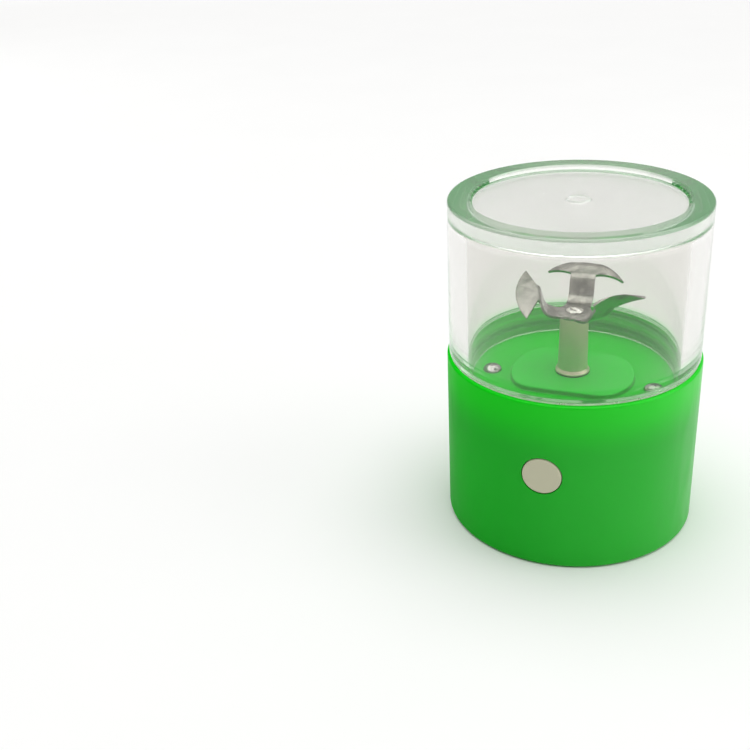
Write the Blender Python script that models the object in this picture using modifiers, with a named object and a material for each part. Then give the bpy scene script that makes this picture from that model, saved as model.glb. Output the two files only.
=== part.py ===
"""Small rechargeable electric grinder: a green motor base, a clear cup that screws into it and a
three-armed blade on a post. Units are metres, +Z is up, the origin is the middle of the bottom face
and the power button faces -Y."""

from collections import namedtuple
from math import asin, cos, degrees, pi, radians, sin, sqrt, tau

import bmesh
import bpy
from mathutils import Matrix, Vector

MM = 0.001
GAP = 0.3 * MM  # between pieces that rest on or move past each other
TIGHT = 0.1 * MM  # between pieces that are fixed to each other

# Base shell
BASE_R = 25.0 * MM
BASE_WALL = 2.0 * MM
BASE_FLOOR = 2.0 * MM
RIM_Z = 35.2 * MM
BORE_R = BASE_R - BASE_WALL
EDGE_R = 0.8 * MM
ROOT_Z = 1.0 * MM  # ribs and bosses start this low, inside the floor
BOSS_R = 2.8 * MM
BOSS_PILOT_R = 1.15 * MM

# Charging socket, and the opening for it in the base's wall
SOCKET_Z = 5.8 * MM
SOCKET_HALF_X = 4.47 * MM
SOCKET_HALF_Z = 1.6 * MM
SOCKET_FRONT_Y = 16.4 * MM
SOCKET_MOUTH_Y = 23.9 * MM
SOCKET_CORNER = 1.3 * MM
SOCKET_WALL = 0.35 * MM
MOUTH_HALF_X = 4.8 * MM
MOUTH_HALF_Z = 1.95 * MM
MOUTH_CORNER = 1.5 * MM

# Clear cup
CUP_R = 24.6 * MM
CUP_BORE_R = 21.0 * MM
CUP_TOP_Z = 66.7 * MM
CUP_RECESS = 0.8 * MM
CUP_RECESS_R = 19.9 * MM
CUP_PLATE = 3.0 * MM
SHOULDER_Z = 35.75 * MM
SKIRT_R = 22.1 * MM
SKIRT_BORE_R = 20.8 * MM
GATE_R = 2.4 * MM

# Screw thread between cup and base: round beads on one helix
LEAD = 3.0 * MM
BEAD_R = 0.58 * MM
CUP_THREAD_Z = 30.9 * MM
CUP_THREAD_TURNS = 1.25
MESH_STEP = 1.1 * MM  # the base's bead runs this far above the cup's
BASE_THREAD_START = -0.3  # in turns along the helix
BASE_THREAD_TURNS = 1.1

# Chamber floor, with the motor's pocket under its raised middle
FLOOR_Z = 29.7 * MM
FLOOR_THICK = 2.0 * MM
FLOOR_R = SKIRT_R
PLATFORM_Z = 30.9 * MM
PLATFORM_R = 12.3 * MM
PLATFORM_FLAT = 9.2 * MM
PLATFORM_SOFT = 2.2 * MM
POCKET_BOTTOM_Z = 12.0 * MM
SCREW_X = 16.4 * MM
SCREW_Y = -2.0 * MM
SCREW_HEAD_R = 2.05 * MM
SCREW_HEAD_HEIGHT = 1.2 * MM
SCREW_SHANK_R = 0.95 * MM
SCREW_HOLE_R = 1.4 * MM
EAR_Y = 11.3 * MM
EAR_R = 1.7 * MM
EAR_PILOT_R = 0.8 * MM

# Motor, of the common 20 x 15 mm size
MOTOR_R = 10.05 * MM
MOTOR_FLAT = 7.55 * MM
CAN_TOP_Z = 28.9 * MM
CAN_BOTTOM_Z = 9.0 * MM
END_CAP_Z = 4.5 * MM
CAN_WALL = 0.8 * MM
STRAP_LUG_Z = 11.0 * MM  # under side of the lugs of the strap that holds the motor
SHAFT_R = 1.0 * MM
SHAFT_TOP_Z = 40.6 * MM
BEARING_R = SHAFT_R + 0.08 * MM
SEAL_R = 3.2 * MM  # the rubber seal round the shaft

# Blade and its post
POST_BOTTOM_Z = PLATFORM_Z + 0.2 * MM
POST_TOP_Z = 43.0 * MM
POST_FOOT_R = 3.4 * MM
POST_TOP_R = 2.75 * MM
BLADE_Z = POST_TOP_Z + 0.45 * MM
BLADE_THICK = 0.5 * MM
HUB_R = 3.35 * MM
RIVET_HOLE_R = 0.85 * MM
ARM_HALF_WIDTH = 2.5 * MM
LEAF_HALF_WIDTH = 2.1 * MM
# direction, tilt along the leaf and slope outwards, in degrees; the leaf's middle out from the axis
# and above the base, and its right and left wings' lengths and droops, in mm; how far the level hub
# and the leaf reach into the bend between them, as parts of its length; and the left wing's twist
Arm = namedtuple("Arm", "direction reach leaf_z tilt slope wings droops level settle twist")
ARMS = (
    Arm(197.0, 9.4, 47.6, -13.3, 1.0, (7.8, 7.8), (0.2, 0.2), 0.72, 0.22, 0.0),
    Arm(90.0, 9.8, 48.9, 0.0, 14.0, (7.8, 7.8), (2.25, 1.5), 0.68, 0.3, 0.0),
    Arm(325.0, 9.2, 48.7, -9.0, 54.0, (4.2, 9.9), (0.2, 0.2), 0.62, 0.35, 24.0),
)

# Button, switch and boards
BUTTON_Z = 20.1 * MM
BUTTON_R = 3.75 * MM
BOARD_Y = -15.4 * MM
BOARD_THICK = 1.0 * MM
BOARD_HALF_X = 11.0 * MM
BOARD_LOW_Z = 4.0 * MM
BOARD_TOP_Z = 25.5 * MM
PLUNGER_R = 1.65 * MM
WIRE_R = 0.5 * MM

RING_STEPS = 48
SMALL_STEPS = 24
HELIX_STEPS = 36  # points a turn


# ---------------------------------------------------------------- scene and helpers


def clear_scene():
    for ob in list(bpy.data.objects):
        bpy.data.objects.remove(ob, do_unlink=True)


def new_collection(name):
    made = bpy.data.collections.new(name)
    bpy.context.scene.collection.children.link(made)
    return made


clear_scene()
PARTS = new_collection("mini_electric_grinder")
CUTTERS = new_collection("grinder_cutters")


def finish(name, colour, roughness, metallic=0.0, alpha=1.0):
    mat = bpy.data.materials.new(name)
    mat.use_nodes = True
    shader = mat.node_tree.nodes["Principled BSDF"]
    shader.inputs["Base Color"].default_value = (*colour, 1.0)
    shader.inputs["Roughness"].default_value = roughness
    shader.inputs["Metallic"].default_value = metallic
    shader.inputs["Alpha"].default_value = alpha
    mat.diffuse_color = (*colour, alpha)
    return mat


GREEN = finish("green_plastic", (0.03, 0.42, 0.05), 0.35)
FLOOR_GREEN = finish("light_green_plastic", (0.07, 0.55, 0.09), 0.4)
CLEAR = finish("clear_plastic", (0.93, 0.95, 0.93), 0.05, alpha=0.3)
SILICONE = finish("cream_silicone", (0.85, 0.85, 0.75), 0.6)
GREY = finish("grey_plastic", (0.45, 0.43, 0.33), 0.45)
WHITE = finish("white_nylon", (0.8, 0.8, 0.78), 0.5)
BLACK = finish("black_plastic", (0.02, 0.02, 0.02), 0.5)
STEEL = finish("brushed_steel", (0.6, 0.6, 0.58), 0.3, 1.0)
PLATED = finish("bright_plated_steel", (0.75, 0.75, 0.75), 0.12, 1.0)
BRONZE = finish("bronze", (0.6, 0.4, 0.2), 0.4, 1.0)
COPPER = finish("copper", (0.75, 0.35, 0.2), 0.35, 1.0)
FERRITE = finish("ferrite", (0.05, 0.05, 0.05), 0.8)
BOARD_GREEN = finish("circuit_board", (0.02, 0.2, 0.08), 0.5)
SILVER_WRAP = finish("cell_wrap", (0.55, 0.56, 0.58), 0.4, 0.6)
RED = finish("red_wire_cover", (0.6, 0.02, 0.02), 0.5)


def place(ob, material, cutter=False):
    """Links the object as a part, or as a cutter that the build leaves out."""
    (CUTTERS if cutter else PARTS).objects.link(ob)
    if cutter:
        ob.hide_render = True
        ob.display_type = "WIRE"
    else:
        ob.data.materials.append(material)
    return ob


def mesh_object(name, bm, material, cutter=False):
    bmesh.ops.recalc_face_normals(bm, faces=bm.faces)
    mesh = bpy.data.meshes.new(name)
    bm.to_mesh(mesh)
    bm.free()
    mesh.shade_smooth()
    mesh.set_sharp_from_angle(angle=radians(35))
    return place(bpy.data.objects.new(name, mesh), material, cutter)


def box(name, low, high, material=None, cutter=False):
    """A box between two corners in metres."""
    low, high = Vector(low), Vector(high)
    bm = bmesh.new()
    size = Matrix.Diagonal((*(high - low), 1.0))
    bmesh.ops.create_cube(bm, size=1.0, matrix=Matrix.Translation((low + high) / 2) @ size)
    return mesh_object(name, bm, material, cutter)


def rod(name, start, end, radius, material=None, cutter=False, steps=SMALL_STEPS, end_radius=None):
    """A cylinder or cone from start to end."""
    start, end = Vector(start), Vector(end)
    turn = (end - start).to_track_quat("Z", "Y").to_matrix().to_4x4()
    bm = bmesh.new()
    bmesh.ops.create_cone(
        bm,
        cap_ends=True,
        segments=steps,
        radius1=radius,
        radius2=radius if end_radius is None else end_radius,
        depth=(end - start).length,
        matrix=Matrix.Translation((start + end) / 2) @ turn,
    )
    return mesh_object(name, bm, material, cutter)


def turned(name, profile, material=None, cutter=False, steps=RING_STEPS, closed=True):
    """Turns (radius, height) points, listed down the outer side, about the Z axis. A closed profile
    makes a ring, and an open one starts and ends on the axis."""
    mesh = bpy.data.meshes.new(name)
    count = len(profile)
    edges = [(i, (i + 1) % count) for i in range(count if closed else count - 1)]
    mesh.from_pydata([(r, 0.0, z) for r, z in profile], edges, [])
    ob = place(bpy.data.objects.new(name, mesh), material, cutter)
    screw = ob.modifiers.new("Turn", "SCREW")
    screw.steps = steps
    screw.render_steps = steps
    screw.use_merge_vertices = True
    screw.merge_threshold = 0.00001
    screw.use_smooth_shade = True
    return ob


def as_mesh(curve_ob, material=None, cutter=False):
    """Makes a curve object into a closed mesh object of the same name."""
    bpy.context.view_layer.update()
    graph = bpy.context.evaluated_depsgraph_get()
    mesh = bpy.data.meshes.new_from_object(curve_ob.evaluated_get(graph))
    bm = bmesh.new()
    bm.from_mesh(mesh)
    bmesh.ops.remove_doubles(bm, verts=bm.verts, dist=0.000001)
    name = curve_ob.name
    world = curve_ob.matrix_world.copy()
    bpy.data.objects.remove(curve_ob, do_unlink=True)
    bpy.data.meshes.remove(mesh)
    ob = mesh_object(name, bm, material, cutter)
    ob.matrix_world = world
    return ob


def plate(name, outline, low_z, high_z, material=None, cutter=False):
    """A flat outline of (x, y) points, as thick as from low_z to high_z."""
    curve = bpy.data.curves.new(name, "CURVE")
    curve.dimensions = "2D"
    curve.fill_mode = "BOTH"
    curve.extrude = (high_z - low_z) / 2
    spline = curve.splines.new("POLY")
    spline.points.add(len(outline) - 1)
    for point, (x, y) in zip(spline.points, outline):
        point.co = (x, y, 0.0, 1.0)
    spline.use_cyclic_u = True
    ob = bpy.data.objects.new(name, curve)
    CUTTERS.objects.link(ob)
    ob.location.z = (low_z + high_z) / 2
    return as_mesh(ob, material, cutter)


def tube(name, points, radius, material=None):
    """A round wire through the points, as a curve object."""
    curve = bpy.data.curves.new(name, "CURVE")
    curve.dimensions = "3D"
    curve.bevel_depth = radius
    curve.bevel_resolution = 1
    curve.use_fill_caps = True
    spline = curve.splines.new("POLY")
    spline.points.add(len(points) - 1)
    for point, place_at in zip(spline.points, points):
        point.co = (*place_at, 1.0)
    return place(bpy.data.objects.new(name, curve), material)


def join(ob, other, operation="UNION"):
    made = ob.modifiers.new(other.name, "BOOLEAN")
    made.operation = operation
    made.object = other
    return ob


def cut(ob, *cutters):
    for cutter in cutters:
        join(ob, cutter, "DIFFERENCE")
    return ob


def arc(middle, radius, start_deg, end_deg, steps):
    """Points on a circle arc, both ends included."""
    angles = [radians(start_deg + (end_deg - start_deg) * i / steps) for i in range(steps + 1)]
    return [(middle[0] + radius * cos(a), middle[1] + radius * sin(a)) for a in angles]


def flatted_round(radius, flat, steps=12, soft=0.0):
    """A circle with two flats at y = +-flat. Its four corners are rounded from a length soft away."""
    lean = degrees(asin(flat / radius))
    end = lean - degrees(soft / radius)
    right = arc((0, 0), radius, -end, end, steps)
    if soft:
        corner = Vector((radius * cos(radians(lean)), flat))
        start, stop = Vector(right[-1]), corner - Vector((soft, 0))
        bend = [start.lerp(corner, t).lerp(corner.lerp(stop, t), t) for t in (0.25, 0.5, 0.75, 1.0)]
        right = [(p.x, -p.y) for p in bend[::-1]] + right + [(p.x, p.y) for p in bend]
    return right + [(-x, -y) for x, y in right]


def rounded_path(points, passes=2):
    """Cuts the corners of a path, and keeps its two ends."""
    path = [Vector(p) for p in points]
    for _ in range(passes):
        softer = [path[0]]
        for a, b in zip(path, path[1:]):
            softer.append(a.lerp(b, 0.25))
            softer.append(a.lerp(b, 0.75))
        path = softer + [path[-1]]
    return path


def round_lengthways(ob, radius):
    """Rounds a box's four edges that run along Y."""
    bevel = ob.modifiers.new("Round", "BEVEL")
    bevel.width = radius
    bevel.segments = 3
    bevel.limit_method = "WEIGHT"
    weights = ob.data.attributes.new("bevel_weight_edge", "FLOAT", "EDGE")
    for edge in ob.data.edges:
        a, b = (ob.data.vertices[i].co for i in edge.vertices)
        weights.data[edge.index].value = float(abs(a.y - b.y) > MM)


def thread_bead(name, radius, start_z, start_turn, turns):
    """A round bead on a right-hand helix, to be joined to a wall of that radius."""
    count = round(turns * HELIX_STEPS)
    points = []
    for i in range(count + 1):
        turn = start_turn + turns * i / count
        points.append((radius * cos(tau * turn), radius * sin(tau * turn), start_z + LEAD * turn))
    bead = tube(name, points, BEAD_R, GREEN)
    PARTS.objects.unlink(bead)
    CUTTERS.objects.link(bead)
    return as_mesh(bead, cutter=True)


# ---------------------------------------------------------------- base


def base_shell():
    rim_soft, lead_in, foot = 0.35 * MM, 0.3 * MM, 1.0 * MM
    profile = [
        (BASE_R - rim_soft, RIM_Z),
        (BASE_R, RIM_Z - rim_soft),
        *arc((BASE_R - EDGE_R, EDGE_R), EDGE_R, 0, -90, 4),
        (0.0, 0.0),
    ]
    inside = [
        (0.0, BASE_FLOOR),
        (BORE_R - foot, BASE_FLOOR),
        (BORE_R, BASE_FLOOR + foot),
        (BORE_R, RIM_Z - lead_in),
        (BORE_R + lead_in, RIM_Z),
    ]
    shell = turned("base_shell", inside + profile, GREEN, closed=False)
    bead_z = CUP_THREAD_Z + MESH_STEP
    join(shell, thread_bead("base_bead", BORE_R, bead_z, BASE_THREAD_START, BASE_THREAD_TURNS))
    for side, word in ((-1, "left"), (1, "right")):
        screw_boss(shell, side, word)
        low_x, high_x = sorted((side * 10.1 * MM, side * 13.1 * MM))
        low, high = (low_x, -16.9 * MM, ROOT_Z), (high_x, -12.9 * MM, 14 * MM)
        join(shell, box(f"rail_{word}", low, high, cutter=True))
    low = (-BOARD_HALF_X - GAP, BOARD_Y - 0.2 * MM, BOARD_LOW_Z - 0.2 * MM)
    high = (BOARD_HALF_X + GAP, BOARD_Y + BOARD_THICK + 0.2 * MM, 16 * MM)
    slot = box("board_slot", low, high, cutter=True)
    outer, inner = (0, -BASE_R - MM, BUTTON_Z), (0, -BORE_R + 2 * MM, BUTTON_Z)
    button_hole = rod("button_hole", outer, inner, BUTTON_R + GAP, cutter=True, steps=32)
    low = (-MOUTH_HALF_X, BORE_R - MM, SOCKET_Z - MOUTH_HALF_Z)
    high = (MOUTH_HALF_X, BASE_R + MM, SOCKET_Z + MOUTH_HALF_Z)
    mouth = box("socket_mouth", low, high, cutter=True)
    round_lengthways(mouth, MOUTH_CORNER)
    return cut(shell, slot, button_hole, mouth)


def screw_boss(shell, side, word):
    """A boss for a floor screw, with a rib to the wall and a pilot hole."""
    x = side * SCREW_X
    low, high = (x, SCREW_Y, ROOT_Z), (x, SCREW_Y, FLOOR_Z - FLOOR_THICK - TIGHT)
    join(shell, rod(f"boss_{word}", low, high, BOSS_R, cutter=True))
    rib_half, rib_top = 0.6 * MM, 20 * MM
    low_x, high_x = sorted((x + side * 2.0 * MM, side * (BORE_R + rib_half)))
    low, high = (low_x, SCREW_Y - rib_half, ROOT_Z), (high_x, SCREW_Y + rib_half, rib_top)
    join(shell, box(f"rib_{word}", low, high, cutter=True))
    low, high = (x, SCREW_Y, 14 * MM), (x, SCREW_Y, FLOOR_Z)
    cut(shell, rod(f"pilot_{word}", low, high, BOSS_PILOT_R, cutter=True, steps=16))


def chamber_floor():
    floor_low = FLOOR_Z - FLOOR_THICK
    disc = [(0.0, FLOOR_Z), (FLOOR_R, FLOOR_Z), (FLOOR_R, floor_low), (0.0, floor_low)]
    floor = turned("chamber_floor", disc, FLOOR_GREEN, closed=False)
    outline = flatted_round(PLATFORM_R, PLATFORM_FLAT, 14, PLATFORM_SOFT)
    body = plate("platform_body", outline, POCKET_BOTTOM_Z, PLATFORM_Z, cutter=True)
    edge = body.modifiers.new("Edge", "BEVEL")
    edge.width = 0.3 * MM
    edge.segments = 2
    edge.limit_method = "ANGLE"
    edge.angle_limit = radians(60)
    join(floor, body)
    for side, word in ((-1, "front"), (1, "back")):
        y = side * EAR_Y
        low, high = (0, y, POCKET_BOTTOM_Z), (0, y, FLOOR_Z - MM)
        join(floor, rod(f"ear_{word}", low, high, EAR_R, cutter=True))
        low, high = (0, y, POCKET_BOTTOM_Z - 2 * MM), (0, y, POCKET_BOTTOM_Z + 8 * MM)
        pilot = rod(f"ear_pilot_{word}", low, high, EAR_PILOT_R, cutter=True, steps=12)
        cut(floor, pilot)
    hollow = flatted_round(MOTOR_R + GAP, MOTOR_FLAT + GAP, 16)
    pocket = plate("pocket", hollow, POCKET_BOTTOM_Z - MM, CAN_TOP_Z + 0.4 * MM, cutter=True)
    low, high = (0, 0, CAN_TOP_Z - MM), (0, 0, PLATFORM_Z + MM)
    shaft_way = rod("shaft_way", low, high, SEAL_R + 0.2 * MM, cutter=True, steps=32)
    cut(floor, pocket, shaft_way)
    for side, word in ((-1, "left"), (1, "right")):
        x = side * SCREW_X
        low, high = (x, SCREW_Y, floor_low - MM), (x, SCREW_Y, FLOOR_Z + MM)
        cut(floor, rod(f"clear_{word}", low, high, SCREW_HOLE_R, cutter=True, steps=16))
    return floor


def domed_screw(name, head_r, head_height, shank_r, length, at, material, flip=False):
    """A screw with a domed head on +Z, or on -Z when flipped, whose shank starts under the head."""
    dome = [(head_r * sin(radians(a)), head_height * cos(radians(a))) for a in range(0, 91, 15)]
    ob = turned(
        name,
        [*dome, (shank_r, 0.0), (shank_r, -length + shank_r), (0.0, -length)],
        material,
        steps=20,
        closed=False,
    )
    ob.location = at
    if flip:
        ob.rotation_euler.x = pi
    return ob


def cross_slot(screw, at, half_length, half_width, depth):
    """Cuts a cross recess into a screw's head, whose top is at the point."""
    local = Vector(at) - screw.location
    for turn in (False, True):
        x, y = (half_width, half_length) if turn else (half_length, half_width)
        name = f"{screw.name}_slot_{'b' if turn else 'a'}"
        low, high = (-x, -y, local.z - depth), (x, y, local.z + MM)
        slot = box(name, low, high, cutter=True)
        slot.location = screw.location
        cut(screw, slot)


def fasteners():
    for side, word in ((-1, "left"), (1, "right")):
        at = (side * SCREW_X, SCREW_Y, FLOOR_Z + 0.05 * MM)
        sizes = (SCREW_HEAD_R, SCREW_HEAD_HEIGHT, SCREW_SHANK_R, 10 * MM)
        screw = domed_screw(f"floor_screw_{word}", *sizes, at, PLATED)
        head_top = (at[0], at[1], at[2] + SCREW_HEAD_HEIGHT)
        cross_slot(screw, head_top, half_length=1.1 * MM, half_width=0.22 * MM, depth=0.6 * MM)
    for side, word in ((-1, "front"), (1, "back")):
        at = (0, side * EAR_Y, STRAP_LUG_Z - TIGHT)
        sizes = (1.6 * MM, 1.0 * MM, 0.6 * MM, 6 * MM)
        domed_screw(f"strap_screw_{word}", *sizes, at, PLATED, flip=True)


def motor_strap():
    """A bent steel strap under the motor, screwed to the two ears of the floor's pocket."""
    thick = 0.8 * MM
    leg, outer = 8.1 * MM, 13.2 * MM
    low, high = 3.4 * MM, STRAP_LUG_Z + thick
    half_width = 3.4 * MM
    half = [(leg + thick, low), (leg + thick, high - thick), (outer, high - thick)]
    half += [(outer, high), (leg, high), (leg, low + thick)]
    outline = half + [(-y, z) for y, z in half[::-1]]
    strap = plate("motor_strap", outline, -half_width, half_width, STEEL)
    strap.location = (0, 0, 0)
    strap.rotation_euler = (pi / 2, 0, pi / 2)
    for side, word in ((-1, "front"), (1, "back")):
        y = side * EAR_Y
        hole = rod(f"strap_hole_{word}", (0, y, 9 * MM), (0, y, 13 * MM), 0.85 * MM, cutter=True, steps=16)
        cut(strap, hole)
    return strap


# ---------------------------------------------------------------- motor


def motor_shell():
    outline = flatted_round(MOTOR_R, MOTOR_FLAT)
    can = plate("motor_can", outline, CAN_BOTTOM_Z, CAN_TOP_Z, STEEL)
    hollow = flatted_round(MOTOR_R - CAN_WALL, MOTOR_FLAT - CAN_WALL)
    join(can, rod("can_boss", (0, 0, 28.3 * MM), (0, 0, 30.2 * MM), 3.05 * MM, cutter=True))
    cut(can, plate("can_hollow", hollow, CAN_BOTTOM_Z - MM, CAN_TOP_Z - CAN_WALL, cutter=True))
    cut(can, rod("can_bore", (0, 0, 27 * MM), (0, 0, 31 * MM), 2.0 * MM, cutter=True))

    cap = plate("motor_end_cap", outline, END_CAP_Z, CAN_BOTTOM_Z - TIGHT, WHITE)
    cut(cap, rod("cap_hollow", (0, 0, 6.4 * MM), (0, 0, 10 * MM), 6.4 * MM, cutter=True, steps=32))
    cut(cap, rod("cap_bore", (0, 0, 4 * MM), (0, 0, 7 * MM), 2.0 * MM, cutter=True))

    bushes = (("motor_bush_front", 28.2, 30.1), ("motor_bush_rear", 4.7, 6.3))
    for name, low, high in bushes:
        ring = [(1.9, high), (1.9, low), (BEARING_R / MM, low), (BEARING_R / MM, high)]
        turned(name, [(r * MM, z * MM) for r, z in ring], BRONZE, steps=SMALL_STEPS)


def magnets():
    """Two curved magnets inside the round sides of the can."""
    for middle, word in ((0, "right"), (180, "left")):
        outer = arc((0, 0), 9.05 * MM, middle - 38, middle + 38, 8)
        inner = arc((0, 0), 6.8 * MM, middle + 38, middle - 38, 8)
        plate(f"motor_magnet_{word}", outer + inner, 11 * MM, 26 * MM, FERRITE)


def armature():
    """Three T-shaped poles round the shaft, in one outline."""
    outline = []
    neck = 1.2 * MM
    root = 2.6 * MM
    shoe_in, shoe_out = 5.2 * MM, 6.35 * MM
    for pole in range(3):
        turn = Matrix.Rotation(radians(120 * pole), 2)
        half = [(sqrt(root**2 - neck**2), -neck), (sqrt(shoe_in**2 - neck**2), -neck)]
        shoe = [*arc((0, 0), shoe_in, -22, -42, 2), *arc((0, 0), shoe_out, -42, 42, 8)]
        shoe += arc((0, 0), shoe_in, 42, 22, 2)
        mirrored = [(x, -y) for x, y in half[::-1]]
        outline += [tuple(turn @ Vector(p)) for p in half + shoe + mirrored]
    core = plate("motor_armature", outline, 13 * MM, 24 * MM, STEEL)
    cut(core, rod("core_bore", (0, 0, 12 * MM), (0, 0, 25 * MM), SHAFT_R + TIGHT, cutter=True))
    ring = [(2.5, 12.4), (2.5, 8.2), (1.1, 8.2), (1.1, 12.4)]
    turned("motor_commutator", [(r * MM, z * MM) for r, z in ring], COPPER, steps=SMALL_STEPS)
    for side, word in ((-1, "left"), (1, "right")):
        low_x, high_x = sorted((side * 2.8 * MM, side * 3.1 * MM))
        box(f"motor_brush_{word}", (low_x, -0.9 * MM, 6.6 * MM), (high_x, 0.9 * MM, 11.5 * MM), COPPER)
        low_x, high_x = sorted((side * 4.7 * MM, side * 6.3 * MM))
        tab_low = (low_x, -10.2 * MM, 6.9 * MM)
        box(f"motor_terminal_{word}", tab_low, (high_x, -7.7 * MM, 7.3 * MM), PLATED)


def shaft_parts():
    tip = 0.2 * MM
    shaft = [
        (0.0, SHAFT_TOP_Z),
        (SHAFT_R - tip, SHAFT_TOP_Z),
        (SHAFT_R, SHAFT_TOP_Z - tip),
        (SHAFT_R, 5.0 * MM),
        (0.0, 5.0 * MM),
    ]
    turned("motor_shaft", shaft, STEEL, steps=SMALL_STEPS, closed=False)
    low, high = PLATFORM_Z - 0.55 * MM, PLATFORM_Z - 0.15 * MM
    seal = [(SEAL_R, high), (SEAL_R, low), (BEARING_R, low), (BEARING_R, high)]
    turned("shaft_seal", seal, BLACK, steps=SMALL_STEPS)

    bore = SHAFT_R + TIGHT
    post = [
        (RIVET_HOLE_R, POST_TOP_Z),
        (POST_TOP_R - 0.2 * MM, POST_TOP_Z),
        (POST_TOP_R, POST_TOP_Z - 0.2 * MM),
        (POST_TOP_R + 0.15 * MM, POST_BOTTOM_Z + 2.6 * MM),
        (POST_TOP_R + 0.3 * MM, POST_BOTTOM_Z + 1.2 * MM),
        (POST_FOOT_R - 0.05 * MM, POST_BOTTOM_Z + 0.4 * MM),
        (POST_FOOT_R, POST_BOTTOM_Z),
        (bore, POST_BOTTOM_Z),
        (bore, SHAFT_TOP_Z + 0.2 * MM),
        (RIVET_HOLE_R, SHAFT_TOP_Z + 0.5 * MM),
    ]
    turned("blade_post", post, STEEL, steps=32)
    head_z, head_r, head_height = BLADE_Z + 0.45 * MM, 1.7 * MM, 0.8 * MM
    stem_r, stem_z = 0.7 * MM, SHAFT_TOP_Z + 1.2 * MM
    angles = [radians(a) for a in range(0, 91, 15)]
    dome = [(head_r * sin(a), head_z + head_height * cos(a)) for a in angles]
    stem = [(stem_r, head_z), (stem_r, stem_z), (0.0, stem_z)]
    turned("blade_rivet", dome + stem, PLATED, steps=SMALL_STEPS, closed=False)


# ---------------------------------------------------------------- blade


def arm_rows(arm):
    """The arm's middle line: (place out and up, share of the strap's width, share of the wings'
    length, part of the leaf's tilt)."""
    slope = radians(arm.slope)
    out = Vector((cos(slope), sin(slope)))
    start, bend = Vector((1.8 * MM, BLADE_Z)), Vector((3.0 * MM, BLADE_Z))
    leaf_middle = Vector((arm.reach, arm.leaf_z)) * MM
    leaf_start = leaf_middle - out * LEAF_HALF_WIDTH
    pull = (leaf_start - bend).length
    first_pull, last_pull = bend + Vector((arm.level * pull, 0)), leaf_start - out * arm.settle * pull
    rows = [(start, 1.0, 0.0, 0.0), (bend, 1.0, 0.0, 0.0)]
    riser_steps, inner_steps = 9, 4
    for i in range(1, riser_steps):
        t = i / riser_steps
        a, b, c = bend.lerp(first_pull, t), first_pull.lerp(last_pull, t), last_pull.lerp(leaf_start, t)
        rows.append((a.lerp(b, t).lerp(b.lerp(c, t), t), 1.0, 0.0, t * t * (3 - 2 * t)))
    for i in range(inner_steps):
        t = i / inner_steps
        rows.append((leaf_start.lerp(leaf_middle, t), 1.0 - t, t, 1.0))
    for share in (0.0, 0.14, 0.32, 0.54, 0.76, 0.92, 0.985):
        rows.append((leaf_middle + out * LEAF_HALF_WIDTH * share, 0.0, sqrt(1 - share), 1.0))
    return rows


def blade_arm(name, arm):
    """One arm as a sheet of quads given thickness: level, then up in an S, then a crosswise leaf."""
    columns = 6
    leaf_middle = Vector((arm.reach, arm.leaf_z)) * MM
    bm = bmesh.new()
    grid = []
    for place, strap, wings, leaf in arm_rows(arm):
        lean = radians(arm.tilt) * leaf
        line = []
        for i in range(columns + 1):
            share = 2 * i / columns - 1
            side = int(share > 0)
            wing = arm.wings[side] * MM
            across = share * (ARM_HALF_WIDTH * strap + wing * wings)
            beyond = max(0.0, abs(across) - ARM_HALF_WIDTH) / (wing - ARM_HALF_WIDTH)
            twist = Matrix.Rotation(radians(-arm.twist * side * beyond), 2)
            at = leaf_middle + twist @ (place - leaf_middle)
            up = at.y + across * sin(lean) - arm.droops[side] * MM * beyond**2
            line.append(bm.verts.new((at.x, across * cos(lean), up)))
        grid.append(line)
    for one, two in zip(grid, grid[1:]):
        for i in range(columns):
            bm.faces.new((one[i], two[i], two[i + 1], one[i + 1]))
    bmesh.ops.rotate(bm, verts=bm.verts, matrix=Matrix.Rotation(radians(arm.direction), 3, "Z"))
    sheet = mesh_object(name, bm, None, cutter=True)
    thick = sheet.modifiers.new("Thickness", "SOLIDIFY")
    thick.thickness = BLADE_THICK
    thick.offset = 0.0
    return sheet


def blade():
    half = 0.38 * MM
    hub_low, hub_high = (0, 0, BLADE_Z - half), (0, 0, BLADE_Z + half)
    plate_ob = rod("blade", hub_low, hub_high, HUB_R, STEEL, steps=36)
    for number, arm in enumerate(ARMS, 1):
        join(plate_ob, blade_arm(f"blade_arm_{number}", arm))
    low, high = (0, 0, BLADE_Z - MM), (0, 0, BLADE_Z + MM)
    cut(plate_ob, rod("blade_hole", low, high, RIVET_HOLE_R, cutter=True, steps=16))
    return plate_ob


# ---------------------------------------------------------------- cup


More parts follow.
